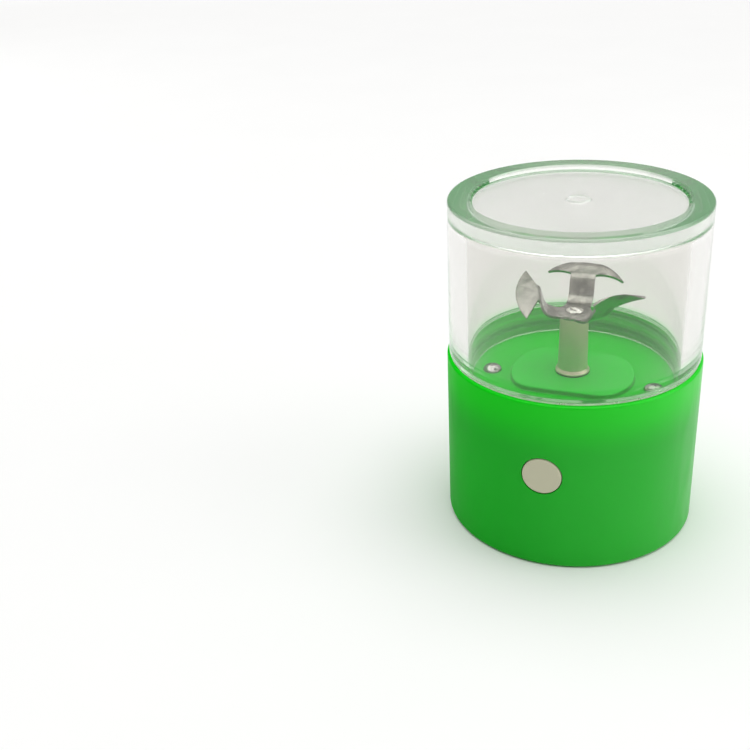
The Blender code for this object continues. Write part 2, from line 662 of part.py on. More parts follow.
def cup():
    plate_top = CUP_TOP_Z - CUP_RECESS
    plate_low = plate_top - CUP_PLATE
    edge = 0.6 * MM
    corner = 1.0 * MM
    outside = [
        (0.0, plate_top),
        (GATE_R - 0.55 * MM, plate_top),
        (GATE_R - 0.45 * MM, plate_top + 0.3 * MM),
        (GATE_R - 0.1 * MM, plate_top + 0.3 * MM),
        (GATE_R, plate_top),
        (CUP_RECESS_R, plate_top),
        (CUP_RECESS_R + 0.55 * MM, CUP_TOP_Z - 0.25 * MM),
        (CUP_RECESS_R + 0.8 * MM, CUP_TOP_Z),
        *arc((CUP_R - edge, CUP_TOP_Z - edge), edge, 90, 0, 3),
        (CUP_R, SHOULDER_Z + 0.3 * MM),
        (CUP_R - 0.3 * MM, SHOULDER_Z),
        (SKIRT_R, SHOULDER_Z),
        (SKIRT_R, FLOOR_Z + 0.4 * MM),
    ]
    inside = [
        (SKIRT_BORE_R, FLOOR_Z + 0.4 * MM),
        (CUP_BORE_R - 0.2 * MM, SHOULDER_Z),
        (CUP_BORE_R, SHOULDER_Z + 2 * MM),
        *arc((CUP_BORE_R - corner, plate_low - corner), corner, 0, 90, 3),
        (0.0, plate_low),
    ]
    made = turned("cup", outside + inside, CLEAR, closed=False)
    return join(made, thread_bead("cup_bead", SKIRT_R, CUP_THREAD_Z, 0.0, CUP_THREAD_TURNS))


def cup_seal():
    low, high = RIM_Z + TIGHT, SHOULDER_Z - TIGHT
    inner, outer = 22.9 * MM, CUP_R - 0.15 * MM
    turned("cup_seal", [(outer, high), (outer, low), (inner, low), (inner, high)], SILICONE)


# ---------------------------------------------------------------- button, boards, cell and wires


def button_parts():
    front_y, flange_y, back_y = -24.95 * MM, -22.2 * MM, -21.4 * MM
    soft, flange_r = 0.25 * MM, 4.6 * MM
    cap = turned(
        "power_button",
        [
            (0.0, -front_y),
            (BUTTON_R - soft, -front_y),
            (BUTTON_R, -front_y - soft),
            (BUTTON_R, -flange_y),
            (flange_r, -flange_y),
            (flange_r, -back_y),
            (0.0, -back_y),
        ],
        GREY,
        steps=36,
        closed=False,
    )
    cap.location.z = BUTTON_Z
    cap.rotation_euler.x = pi / 2
    plunger_front, plunger_back = (0, back_y + 0.15 * MM, BUTTON_Z), (0, -18.0 * MM, BUTTON_Z)
    rod("switch_plunger", plunger_front, plunger_back, PLUNGER_R, BLACK)
    half = 3.0 * MM
    low = (-half, -19.0 * MM, BUTTON_Z - half)
    high = (half, BOARD_Y - TIGHT, BUTTON_Z + half)
    body = box("switch_body", low, high, BLACK)
    low, high = (0, -20 * MM, BUTTON_Z), (0, -17 * MM, BUTTON_Z)
    cut(body, rod("plunger_way", low, high, PLUNGER_R + 0.25 * MM, cutter=True))


def boards():
    low = (-BOARD_HALF_X, BOARD_Y, BOARD_LOW_Z)
    high = (BOARD_HALF_X, BOARD_Y + BOARD_THICK, BOARD_TOP_Z)
    box("main_board", low, high, BOARD_GREEN)
    chip_back = BOARD_Y - TIGHT
    box("charger_chip", (-2.5 * MM, chip_back - 1.5 * MM, 8 * MM), (2.5 * MM, chip_back, 12 * MM), BLACK)
    low, high = (-9.5 * MM, 13.7 * MM, 8.3 * MM), (9.5 * MM, 19.7 * MM, 26.3 * MM)
    cell = box("battery_cell", low, high, SILVER_WRAP)
    soft = cell.modifiers.new("Round", "BEVEL")
    soft.width = 1.0 * MM
    soft.segments = 2


def charging_socket():
    """The socket's steel shell, its tongue and the small board under it."""
    board_top = SOCKET_Z - SOCKET_HALF_Z - TIGHT
    box("socket_board", (-6 * MM, 11.5 * MM, board_top - MM), (6 * MM, 21.4 * MM, board_top), BOARD_GREEN)
    low = (-SOCKET_HALF_X, SOCKET_FRONT_Y, SOCKET_Z - SOCKET_HALF_Z)
    high = (SOCKET_HALF_X, SOCKET_MOUTH_Y, SOCKET_Z + SOCKET_HALF_Z)
    socket = box("charge_socket", low, high, PLATED)
    hollow_x, hollow_z = SOCKET_HALF_X - SOCKET_WALL, SOCKET_HALF_Z - SOCKET_WALL
    low = (-hollow_x, SOCKET_FRONT_Y + MM, SOCKET_Z - hollow_z)
    high = (hollow_x, SOCKET_MOUTH_Y + MM, SOCKET_Z + hollow_z)
    hollow = box("socket_hollow", low, high, cutter=True)
    round_lengthways(socket, SOCKET_CORNER)
    round_lengthways(hollow, SOCKET_CORNER - 0.3 * MM)
    cut(socket, hollow)
    tongue_x, tongue_z = 3.3 * MM, 0.35 * MM
    low = (-tongue_x, SOCKET_FRONT_Y + MM + TIGHT, SOCKET_Z - tongue_z)
    high = (tongue_x, SOCKET_MOUTH_Y - 1.2 * MM, SOCKET_Z + tongue_z)
    box("socket_tongue", low, high, BLACK)


def wires():
    """Three pairs: cell, motor and charging socket, each to the main board."""
    behind_board = BOARD_Y + BOARD_THICK + TIGHT
    for side, word, material in ((1, "red", RED), (-1, "black", BLACK)):

        def at(x, y, z, side=side):
            return (side * x * MM, y * MM, z * MM)

        def to_board(x, z, side=side):
            return (side * x * MM, behind_board, z * MM)

        sweep = [at(21.3 * cos(radians(a)), 21.3 * sin(radians(a)), 23.5) for a in range(42, -32, -14)]
        route = [at(9.7, 16.7, 23.5), at(12.5, 16.9, 23.5), *sweep, at(14.5, -12.4, 23.5)]
        route += [at(9.0, -12.2, 22.5), to_board(9.0, 22.5)]
        tube(f"battery_wire_{word}", rounded_path(route), WIRE_R, material)

        route = [at(5.5, -10.3, 7.1), at(5.5, -12.4, 7.1), at(5.5, -12.6, 9.5)]
        tube(f"motor_wire_{word}", rounded_path([*route, to_board(5.5, 9.5)]), WIRE_R, material)

        route = [at(4.6, 12.5, 4.75), at(9.5, 12.5, 4.75), at(12.0, 8, 5), at(12.0, -8, 5)]
        route += [at(8.6, -11.6, 6.0), at(8.3, -12.6, 8.0)]
        tube(f"charge_wire_{word}", rounded_path([*route, to_board(8.3, 8.5)]), WIRE_R, material)


base_shell()
chamber_floor()
fasteners()
motor_strap()
motor_shell()
magnets()
armature()
shaft_parts()
blade()
cup()
cup_seal()
button_parts()
boards()
charging_socket()
wires()
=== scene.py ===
"""Looks of the small electric grinder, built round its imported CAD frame: a fine mesh for every
piece that shows, a procedural material for every piece, a pale studio and the camera.
Numbers are millimetres times MM, +Z is up and the power button faces -Y."""

from collections import namedtuple
from math import asin, atan2, cos, degrees, pi, radians, sin, sqrt, tan, tau

import bmesh
import bpy
from mathutils import Matrix, Vector, noise


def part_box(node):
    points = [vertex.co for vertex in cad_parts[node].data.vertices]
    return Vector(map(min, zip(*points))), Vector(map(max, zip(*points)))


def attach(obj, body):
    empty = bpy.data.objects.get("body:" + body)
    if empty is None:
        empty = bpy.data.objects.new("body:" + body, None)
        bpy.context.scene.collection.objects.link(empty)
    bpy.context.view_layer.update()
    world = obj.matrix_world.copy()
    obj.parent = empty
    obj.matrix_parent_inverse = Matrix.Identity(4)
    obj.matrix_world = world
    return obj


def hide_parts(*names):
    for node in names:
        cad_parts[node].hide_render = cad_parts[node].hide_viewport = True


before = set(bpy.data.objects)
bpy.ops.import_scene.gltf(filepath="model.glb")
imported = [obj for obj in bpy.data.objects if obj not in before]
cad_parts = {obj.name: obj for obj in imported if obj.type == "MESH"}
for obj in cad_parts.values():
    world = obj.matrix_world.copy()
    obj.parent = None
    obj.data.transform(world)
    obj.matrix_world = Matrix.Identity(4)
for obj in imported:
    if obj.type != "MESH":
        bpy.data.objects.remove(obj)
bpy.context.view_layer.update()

MM = 0.001
ROUND = 192  # steps round a large turned piece
SMALL = 72  # steps round a small one
SHARP_DEG = 32  # edges that turn more than this stay sharp

# Places and sizes that the frame gives
BASE_R, RIM_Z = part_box("base_shell")[1].x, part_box("base_shell")[1].z
CUP_R, CUP_TOP_Z, SKIRT_LOW_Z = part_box("cup")[1].x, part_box("cup")[1].z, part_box("cup")[0].z
SEAL_LOW, SEAL_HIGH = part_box("cup_seal")
FLOOR_R, PLATFORM_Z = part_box("chamber_floor")[1].x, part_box("chamber_floor")[1].z
POCKET_LOW_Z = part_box("chamber_floor")[0].z
POST_LOW, POST_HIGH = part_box("blade_post")
RIVET_LOW, RIVET_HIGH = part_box("blade_rivet")
BUTTON_LOW, BUTTON_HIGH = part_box("power_button")
SOCKET_LOW, SOCKET_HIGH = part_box("charge_socket")
TONGUE_LOW, TONGUE_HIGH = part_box("socket_tongue")

# Base and its inside
BASE_WALL = 2.0 * MM
BASE_FLOOR = 2.0 * MM
BORE_R = BASE_R - BASE_WALL
ROOT_Z = 1.0 * MM  # bosses, ribs and rails start this low, inside the floor
BOSS_R = 2.8 * MM
BOSS_PILOT_R = 1.15 * MM
RIB_HALF = 0.6 * MM
BOSS_PILOT_LOW_Z = 14.0 * MM
RIB_TOP_Z = 20.0 * MM
RAIL_X = (10.1 * MM, 13.1 * MM)
RAIL_Y = (-16.9 * MM, -12.9 * MM)
RAIL_TOP_Z = 14.0 * MM
BOARD_CLEAR = Vector((0.3, 0.2, 0.2)) * MM

# Button, and the charging socket with its mouth in the base's wall
HOLE_EDGE = 0.12 * MM  # rounding of the button hole and the socket mouth
BUTTON_Z = (BUTTON_LOW.z + BUTTON_HIGH.z) / 2
BUTTON_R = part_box("switch_plunger")[1].x + 2.1 * MM
BUTTON_HOLE_R = BUTTON_R + 0.15 * MM
BUTTON_DISH = 0.07 * MM
SOCKET_Z = (SOCKET_LOW.z + SOCKET_HIGH.z) / 2
SOCKET_CORNER = 1.3 * MM
SOCKET_WALL = 0.35 * MM
SOCKET_LIP = 0.12 * MM
MOUTH_HALF_X = 4.8 * MM
MOUTH_HALF_Z = 1.95 * MM
MOUTH_CORNER = 1.5 * MM

# Chamber floor
FLOOR_Z = PLATFORM_Z - 1.2 * MM
FLOOR_THICK = 2.0 * MM
PLATFORM_R = 12.3 * MM
PLATFORM_FLAT = 9.2 * MM
PLATFORM_SOFT = 2.2 * MM
POCKET_R = 10.35 * MM
POCKET_FLAT = 7.85 * MM
POCKET_TOP_Z = PLATFORM_Z - 1.6 * MM
SHAFT_WAY_R = 3.4 * MM
EAR_Y = 11.3 * MM
EAR_R = 1.7 * MM
EAR_PILOT_R = 0.8 * MM
EAR_PILOT_TOP_Z = 20.0 * MM
SCREW_HEAD_HEIGHT = 1.2 * MM
SCREW_SHANK_R = 0.95 * MM
SCREW_HOLE_R = 1.4 * MM

# Cup
CUP_BORE_R = 21.0 * MM
CUP_RECESS = 0.8 * MM
CUP_RECESS_R = 19.9 * MM
CUP_PLATE = 3.0 * MM
SHOULDER_Z = SEAL_HIGH.z + 0.1 * MM
SKIRT_R = 22.1 * MM
SKIRT_BORE_R = 20.8 * MM
GATE_R = 2.4 * MM

# Thread
LEAD = 3.0 * MM
BEAD_R = 0.58 * MM
CUP_THREAD_Z = 30.9 * MM
CUP_THREAD_TURNS = 1.25
BASE_THREAD_Z = CUP_THREAD_Z + 1.1 * MM
BASE_THREAD_START = -0.3  # in turns along the helix
BASE_THREAD_TURNS = 1.1

# Blade
BLADE_Z = POST_HIGH.z + 0.45 * MM
BLADE_THICK = 0.5 * MM
HUB_THICK = 0.76 * MM
RIVET_HOLE_R = 0.85 * MM
RIVET_STEM_R = 0.7 * MM
RIVET_DENT = 0.45 * MM
POST_BORE_R = 1.1 * MM
HUB_R = 3.35 * MM
ARM_HALF_WIDTH = 2.5 * MM
LEAF_HALF_WIDTH = 2.1 * MM
# direction, tilt along the leaf and slope outwards, in degrees; the leaf's middle out from the axis
# and above the base, and its right and left wings' lengths and droops, in mm; how far the level hub
# and the leaf reach into the bend between them, as parts of its length; and the left wing's twist
Arm = namedtuple("Arm", "direction reach leaf_z tilt slope wings droops level settle twist")
ARMS = (
    Arm(197.0, 9.4, 47.6, -13.3, 1.0, (7.8, 7.8), (0.2, 0.2), 0.72, 0.22, 0.0),
    Arm(90.0, 9.8, 48.9, 0.0, 14.0, (7.8, 7.8), (2.25, 1.5), 0.68, 0.3, 0.0),
    Arm(325.0, 9.2, 48.7, -9.0, 54.0, (4.2, 9.9), (0.2, 0.2), 0.62, 0.35, 24.0),
)

# Camera, in front of the part and to its right, aimed past its left side
CAMERA_AT = Vector((39.5, -194.4, 129.0)) * MM
CAMERA_HEADING = 23.03  # degrees from +Y towards -X
CAMERA_DOWN = 26.62
CAMERA_ROLL = -3.06
CAMERA_LENS = 52.0

# The room's strength, on its dim and bright sides and where it is seen through the clear cup
ROOM_DIM = 0.13
ROOM_BRIGHT = 0.42
ROOM_BRIGHT_SIDE = (0.8, 0.6, 0.0)  # to the right and behind
ROOM_THROUGH_CUP = 0.8


# ---------------------------------------------------------------- solids


def solid(name, bm):
    """An object from a closed bmesh, with its faces turned out."""
    bmesh.ops.recalc_face_normals(bm, faces=bm.faces)
    if bm.calc_volume(signed=True) < 0:
        bmesh.ops.reverse_faces(bm, faces=bm.faces)
    mesh = bpy.data.meshes.new(name)
    bm.to_mesh(mesh)
    bm.free()
    ob = bpy.data.objects.new(name, mesh)
    bpy.context.scene.collection.objects.link(ob)
    return ob


def combine(ob, operation, *others):
    """Joins other solids to this one, or cuts it with them. They are used up."""
    for other in others:
        tool = ob.modifiers.new("Combine", "BOOLEAN")
        tool.operation = operation
        tool.object = other
    bpy.context.view_layer.update()
    graph = bpy.context.evaluated_depsgraph_get()
    mesh = bpy.data.meshes.new_from_object(ob.evaluated_get(graph))
    bm = bmesh.new()
    bm.from_mesh(mesh)
    bmesh.ops.remove_doubles(bm, verts=bm.verts, dist=0.0001 * MM)
    bm.to_mesh(mesh)
    bm.free()
    ob.modifiers.clear()
    ob.data = mesh
    for other in others:
        bpy.data.objects.remove(other)
    return ob


def show(ob, material, body, slot, *nodes):
    """Shades a piece, and lets it ride on its body in place of its CAD nodes."""
    ob.data.shade_smooth()
    ob.data.set_sharp_from_angle(angle=radians(SHARP_DEG))
    ob.data.materials.clear()
    ob.data.materials.append(material)
    weighted = ob.modifiers.new("Even shading", "WEIGHTED_NORMAL")
    weighted.keep_sharp = True
    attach(ob, body)
    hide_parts(*nodes)
    return ob


def arc(middle, radius, start_deg, end_deg, steps):
    """Points on a circle arc, both ends included."""
    angles = [radians(start_deg + (end_deg - start_deg) * i / steps) for i in range(steps + 1)]
    return [(middle[0] + radius * cos(a), middle[1] + radius * sin(a)) for a in angles]


def rounded(corners, steps=7):
    """Points of a path whose corners are (across, up, rounding radius)."""
    points = []
    for i, (across, up, soft) in enumerate(corners):
        here = Vector((across, up))
        if not soft:
            points.append((across, up))
            continue
        back = (Vector(corners[i - 1][:2]) - here).normalized()
        on = (Vector(corners[(i + 1) % len(corners)][:2]) - here).normalized()
        half = back.angle(on) / 2
        middle = here + (back + on).normalized() * soft / sin(half)
        first = here + back * soft / tan(half) - middle
        last = here + on * soft / tan(half) - middle
        start = degrees(atan2(first.y, first.x))
        sweep = (degrees(atan2(last.y, last.x)) - start + 180) % 360 - 180
        points += arc(middle, soft, start, start + sweep, steps)
    return points


def turned(profile, steps=ROUND, closed=False):
    """A bmesh turned about Z from (radius, height) points. An open profile starts and ends on the
    axis, and a closed one makes a ring."""
    bm = bmesh.new()
    rings = []
    for radius, z in profile:
        if radius < 0.01 * MM:
            rings.append([bm.verts.new((0, 0, z))] * steps)
            continue
        angles = [tau * i / steps for i in range(steps)]
        rings.append([bm.verts.new((radius * cos(a), radius * sin(a), z)) for a in angles])
    after = rings[1:] + rings[:1] if closed else rings[1:]
    for one, two in zip(rings, after):
        for i in range(steps):
            corners = (one[i - 1], one[i], two[i], two[i - 1])
            bm.faces.new(list(dict.fromkeys(corners)))
    return bm


def loft(rings):
    """A bmesh through closed rings of points, with a flat cap at each end."""
    bm = bmesh.new()
    made = [[bm.verts.new(p) for p in ring] for ring in rings]
    for one, two in zip(made, made[1:]):
        for i in range(len(one)):
            bm.faces.new((one[i - 1], one[i], two[i], two[i - 1]))
    bm.faces.new(made[0])
    bm.faces.new(made[-1])
    return bm


def block(low, high):
    bm = bmesh.new()
    low, high = Vector(low), Vector(high)
    size = Matrix.Diagonal((*(high - low), 1.0))
    bmesh.ops.create_cube(bm, size=1.0, matrix=Matrix.Translation((low + high) / 2) @ size)
    return bm


def peg(x, y, low_z, high_z, radius, steps=48):
    """An upright round bar."""
    ring = [(x + radius * cos(tau * i / steps), y + radius * sin(tau * i / steps)) for i in range(steps)]
    return loft([[(*p, z) for p in ring] for z in (low_z, high_z)])


def flatted_round(radius, flat, soft=0.0, steps=40):
    """A circle with two flats at y = +-flat, its four corners rounded from a length soft away."""
    lean = degrees(asin(flat / radius))
    end = lean - degrees(soft / radius)
    right = arc((0, 0), radius, -end, end, steps)
    if soft:
        corner = Vector((radius * cos(radians(lean)), flat))
        start, stop = Vector(right[-1]), corner - Vector((soft, 0))
        shares = [i / 10 for i in range(1, 11)]
        bend = [start.lerp(corner, t).lerp(corner.lerp(stop, t), t) for t in shares]
        right = [(p.x, -p.y) for p in bend[::-1]] + right + [(p.x, p.y) for p in bend]
    return right + [(-x, -y) for x, y in right]


def round_oblong(half_x, half_z, corner, steps=12):
    """A rectangle's outline with round corners, as (x, z) points."""
    points = []
    for number, (side_x, side_z) in enumerate(((1, 1), (-1, 1), (-1, -1), (1, -1))):
        middle = (side_x * (half_x - corner), side_z * (half_z - corner))
        points += arc(middle, corner, 90 * number, 90 * number + 90, steps)
    return points


def thread_bead(radius, start_z, start_turn, turns):
    """A round bead on a right-hand helix, which fades in and out at its two ends."""
    count = round(turns * 120)
    fade_turns = 0.07
    rings = []
    for i in range(count + 1):
        turn = start_turn + turns * i / count
        to_end = min(i, count - i) / count * turns
        bead = BEAD_R * max(0.2, min(1.0, sqrt(to_end / fade_turns)))
        ring = []
        for across, up in arc((radius, start_z + LEAD * turn), bead, 5, 5 + 360 * 15 / 16, 15):
            ring.append((across * cos(tau * turn), across * sin(tau * turn), up))
        rings.append(ring)
    return loft(rings)


# ---------------------------------------------------------------- materials


class Look:
    """One procedural material. Its methods add nodes and give back their outputs."""

    def __init__(self, name):
        self.material = bpy.data.materials.new(name)
        self.material.use_nodes = True
        self.tree = self.material.node_tree
        self.shader = self.tree.nodes["Principled BSDF"]
        self.place = self.add("ShaderNodeTexCoord").outputs["Object"]

    def feed(self, node, inputs):
        for name, value in inputs.items():
            if isinstance(value, bpy.types.NodeSocket):
                self.tree.links.new(value, node.inputs[name])
            else:
                node.inputs[name].default_value = value

    def add(self, kind, inputs=None, **settings):
        node = self.tree.nodes.new(kind)
        for name, value in settings.items():
            setattr(node, name, value)
        self.feed(node, inputs or {})
        return node

    def set(self, **inputs):
        """Values or outputs for the main shader, with _ for a space in an input's name."""
        self.feed(self.shader, {name.replace("_", " "): value for name, value in inputs.items()})
        return self

    def stretched(self, stretch):
        return self.add("ShaderNodeMapping", {"Vector": self.place, "Scale": stretch}).outputs[0]

    def noise(self, per_mm, detail=3.0, stretch=(1, 1, 1), warp=0.0):
        inputs = {"Vector": self.stretched(stretch), "Scale": per_mm / MM, "Detail": detail}
        inputs["Distortion"] = warp
        return self.add("ShaderNodeTexNoise", inputs).outputs[0]

    def cells(self, per_mm, stretch=(1, 1, 1), **settings):
        inputs = {"Vector": self.stretched(stretch), "Scale": per_mm / MM}
        return self.add("ShaderNodeTexVoronoi", inputs, **settings).outputs[0]

    def axis(self, letter):
        return self.add("ShaderNodeSeparateXYZ", {"Vector": self.place}).outputs[letter]

    def from_axis(self):
        """Distance from the Z axis."""
        flat = self.stretched((1, 1, 0))
        return self.add("ShaderNodeVectorMath", {0: flat}, operation="LENGTH").outputs["Value"]

    def ramp(self, value, start, stop, low=0.0, high=1.0):
        """Maps start..stop to low..high in a soft step."""
        inputs = {"Value": value, "From Min": start, "From Max": stop, "To Min": low, "To Max": high}
        return self.add("ShaderNodeMapRange", inputs, interpolation_type="SMOOTHSTEP").outputs[0]

    def maths(self, operation, first, second=0.0):
        node = self.add("ShaderNodeMath", operation=operation)
        self.feed(node, {0: first, 1: second})
        return node.outputs[0]

    def mix(self, share, first, second):
        node = self.add("ShaderNodeMix", data_type="RGBA")
        first, second = (c if isinstance(c, bpy.types.NodeSocket) else (*c, 1.0) for c in (first, second))
        self.feed(node, {0: share, 6: first, 7: second})
        return node.outputs[2]

    def bump(self, height, depth_mm, under=None):
        inputs = {"Height": height, "Distance": depth_mm * MM}
        if under:
            inputs["Normal"] = under
        out = self.add("ShaderNodeBump", inputs).outputs[0]
        self.set(Normal=out)
        return out

    def let_light_through(self, tint):
        """Light for what lies behind passes straight through, and only the view through it bends."""
        ray = self.add("ShaderNodeLightPath").outputs
        straight = self.add("ShaderNodeBsdfTransparent", {"Color": (*tint, 1.0)})
        choice = self.maths("MAXIMUM", ray["Is Shadow Ray"], ray["Is Diffuse Ray"])
        either = self.add("ShaderNodeMixShader")
        self.feed(either, {0: choice, 1: self.shader.outputs[0], 2: straight.outputs[0]})
        self.feed(self.tree.nodes["Material Output"], {"Surface": either.outputs[0]})


def shade(colour, factor):
    return tuple(channel * factor for channel in colour)


def moulded(name, colour, roughness, grain_mm=0.004, specular=0.5, drift=0.08):
    """Moulded plastic: slow colour drift, fine grain and faint rubbed marks."""
    look = Look(name)
    slow = look.noise(0.05, detail=2.0)
    rubbed = look.noise(0.25, detail=6.0, stretch=(1, 1, 0.25), warp=0.6)
    look.tone = look.mix(slow, shade(colour, 1 - drift), shade(colour, 1 + drift))
    rough = look.ramp(rubbed, 0.3, 0.75, roughness - 0.04, roughness + 0.07)
    look.set(Base_Color=look.tone, Roughness=rough, Specular_IOR_Level=specular)
    if grain_mm:
        look.bump(look.noise(5.0, detail=4.0), grain_mm)
    return look


def metal(name, colour, roughness, grooves=(1, 1, 1), depth_mm=0.003, per_mm=8.0):
    """Stained metal with grooves or pits: grooves run along the axis with the small number."""
    look = Look(name)
    lines = look.noise(per_mm, detail=5.0, stretch=grooves)
    stain = look.noise(0.3, detail=3.0)
    look.set(Base_Color=look.mix(stain, shade(colour, 0.85), colour), Metallic=1.0)
    look.set(Roughness=look.ramp(lines, 0.25, 0.75, roughness * 0.75, roughness * 1.35))
    if depth_mm:
        look.bump(lines, depth_mm)
    return look


def green_case():
    """The base: green, with painted light making it brighter in the thinner wall just under the rim, and a
    painted sheen that grows towards its right.
    """
    look = moulded("green_plastic", (0.005, 0.455, 0.014), 0.36, grain_mm=0.002)
    # Painted light: the green is mixed brighter over the top 10 mm under the rim
    up = look.ramp(look.axis("Z"), RIM_Z - 11 * MM, RIM_Z - 1 * MM)
    bright = look.mix(up, look.tone, (0.002, 0.66, 0.006))
    # Painted sheen: the specular level grows from the left side to the right, as if more light were
    # reflected there
    painted_sheen = look.ramp(look.axis("X"), -BASE_R, BASE_R, 0.01, 0.38)
    look.set(Base_Color=bright, Specular_IOR_Level=painted_sheen)
    look.set(Subsurface_Weight=0.15, Subsurface_Scale=MM)
    look.set(Subsurface_Radius=(0.3, 1.2, 0.3))
    return look.material


def green_floor():
    """The floor: painted shade makes it a little darker round the platform, and darkest on the platform's
    steep side.
    """
    look = moulded("light_green_plastic", (0.020, 0.70, 0.040), 0.38, grain_mm=0.003, specular=0.12)
    up = look.axis("Z")
    # Painted shade: darker green on the low floor round the platform, and darkest on the platform's steep
    # side
    low = look.ramp(up, FLOOR_Z + 0.1 * MM, FLOOR_Z + 0.3 * MM, 1.0, 0.0)
    side = look.ramp(up, PLATFORM_Z - 0.3 * MM, PLATFORM_Z - 0.1 * MM, 1.0, 0.0)
    shaded_side = look.mix(side, look.tone, (0.002, 0.46, 0.012))
    look.set(Base_Color=look.mix(low, shaded_side, (0.007, 0.62, 0.018)))
    look.set(Subsurface_Weight=0.1, Subsurface_Scale=MM, Subsurface_Radius=(0.3, 1.0, 0.3))
    return look.material


def clear_plastic():
    """Clear plastic with faint flow waves and hairline scratches. Green light from the base runs up
    inside the wall; it is painted light, put into the colour: the raised ring on top, greener at
    its sides, the wall's lowest part and the threaded skirt are painted green, with a painted band
    of shaded dark green under the wall's edge, and the sunken top plate is faintly frosted."""
    look = Look("clear_plastic")
    up = look.axis("Z")
    out = look.from_axis()
    plate_top = CUP_TOP_Z - CUP_RECESS
    plate_low = plate_top - CUP_PLATE

    # Masks, 1 where the part of the cup is
    over_wall = look.ramp(out, CUP_RECESS_R, CUP_RECESS_R + 0.8 * MM)
    top_edge = look.ramp(up, CUP_TOP_Z - 0.75 * MM, CUP_TOP_Z - 0.35 * MM)
    ring = look.maths("MULTIPLY", over_wall, top_edge)
    sideways = look.ramp(look.maths("ABSOLUTE", look.axis("X")), 0.3 * CUP_R, CUP_R)
    low_wall = look.ramp(up, SHOULDER_Z, SHOULDER_Z + 1.6 * MM, 1.0, 0.0)
    skirt = look.ramp(up, SHOULDER_Z - 0.3 * MM, SHOULDER_Z, 1.0, 0.0)
    under_wall = look.ramp(up, SHOULDER_Z + 0.05 * MM, SHOULDER_Z + 0.2 * MM, 1.0, 0.0)
    beside_skirt = look.ramp(out, SKIRT_R, SKIRT_R + 0.2 * MM)
    under_wall = look.maths("MULTIPLY", under_wall, beside_skirt)
    plate = look.ramp(up, plate_low - MM, plate_low)
    plate_face = look.ramp(up, plate_top - MM, plate_top - 0.5 * MM)
    beside_ring = (CUP_RECESS_R - 0.2 * MM, CUP_RECESS_R)

    # Painted light: green from the base mixed into the tint on the low wall and skirt, a painted band of
    # shaded dark green under the wall's edge, and a ring painted greener at its sides
    tint = look.mix(plate, (0.86, 0.855, 0.83), (0.99, 0.98, 0.965))
    tint = look.mix(low_wall, tint, (0.50, 0.86, 0.50))
    tint = look.mix(under_wall, tint, (0.02, 0.36, 0.05))
    tint = look.mix(ring, tint, look.mix(sideways, (0.50, 0.60, 0.48), (0.28, 0.48, 0.30)))

    milky = look.maths("MULTIPLY", plate_face, look.ramp(out, *beside_ring, 0.3, 0.0))
    # The ring, skirt and band under the wall let less light through, so their painted green shows
    for mask, share in ((ring, 0.45), (skirt, 0.2), (under_wall, 0.6)):
        milky = look.maths("ADD", milky, look.ramp(mask, 0.0, 1.0, 0.0, share))
    clearness = look.maths("SUBTRACT", 1.0, milky)
    look.set(Base_Color=tint, Transmission_Weight=clearness, IOR=1.5)

    waves = look.noise(0.12, detail=2.0, stretch=(1, 1, 0.35))
    hairs = look.noise(2.0, detail=8.0, stretch=(1, 1, 0.04), warp=0.3)
    look.bump(hairs, 0.0006, look.bump(waves, 0.02))
    scratched = look.ramp(hairs, 0.62, 0.8, 0.0, 0.12)
    scratched = look.maths("MULTIPLY", scratched, look.ramp(low_wall, 0.0, 0.1, 1.0, 0.0))
    frosted = look.maths("MULTIPLY", plate, look.ramp(out, *beside_ring, 0.2, 0.0))
    rough = look.maths("ADD", frosted, look.ramp(skirt, 0.0, 1.0, 0.0, 0.22))
    look.set(Roughness=look.maths("ADD", scratched, rough))
    look.let_light_through((0.95, 0.96, 0.95))
    return look.material


def silicone():
    """Milky, nearly clear silicone: the green rim under it shows through."""
    look = moulded("cream_silicone", (0.90, 0.90, 0.84), 0.3, grain_mm=0.01, drift=0.03)
    look.set(Transmission_Weight=0.85, IOR=1.41)
    look.let_light_through((0.8, 0.8, 0.75))
    return look.material


def rubber():
    look = moulded("black_rubber", (0.018, 0.018, 0.018), 0.6, grain_mm=0.015)
    return look.set(Sheen_Weight=0.2).material


def post_steel():
    """Turned steel under a thin worn coat, so it is paler and duller than the blade."""
    look = metal("turned_steel", (0.80, 0.72, 0.54), 0.42, grooves=(1, 1, 0.03), depth_mm=0.006)
    return look.set(Metallic=0.65).material


def blade_steel():
    """Stamped stainless sheet: fine rolling lines, dull streaks and deeper single scratches, with
    marks of the riveting tool on the hub."""
    look = Look("blade_steel")
    streaks = look.noise(0.7, detail=7.0, stretch=(1, 1, 0.3), warp=0.8)
    dull, bright = (0.26, 0.255, 0.235), (0.40, 0.39, 0.36)
    look.set(Base_Color=look.mix(look.ramp(streaks, 0.35, 0.62), dull, bright), Metallic=1.0)
    lines = look.noise(8.0, detail=5.0, stretch=(0.08, 1, 1))
    look.set(Roughness=look.ramp(lines, 0.25, 0.75, 0.15, 0.27))
    scratches = look.noise(0.9, detail=9.0, stretch=(1, 0.15, 1), warp=1.2)
    fine = look.bump(look.ramp(scratches, 0.62, 0.68), 0.004, look.bump(lines, 0.002))
    hub = look.ramp(look.from_axis(), 3.0 * MM, 4.2 * MM, 1.0, 0.0)
    look.bump(look.maths("MULTIPLY", look.noise(1.6, detail=2.5), hub), 0.5, fine)
    return look.material


def struck_steel():
    """A rivet head battered by the tool that spread it."""
    look = metal("struck_steel", (0.80, 0.79, 0.75), 0.09, depth_mm=None)
    look.bump(look.noise(1.4, detail=1.0), 0.35)
    return look.material


def plated():
    return metal("plated_steel", (0.82, 0.82, 0.80), 0.1, depth_mm=0.0015, per_mm=4.0).material


def strap_steel():
    return metal("pressed_steel", (0.58, 0.58, 0.56), 0.34, grooves=(1, 0.05, 1), depth_mm=0.004).material


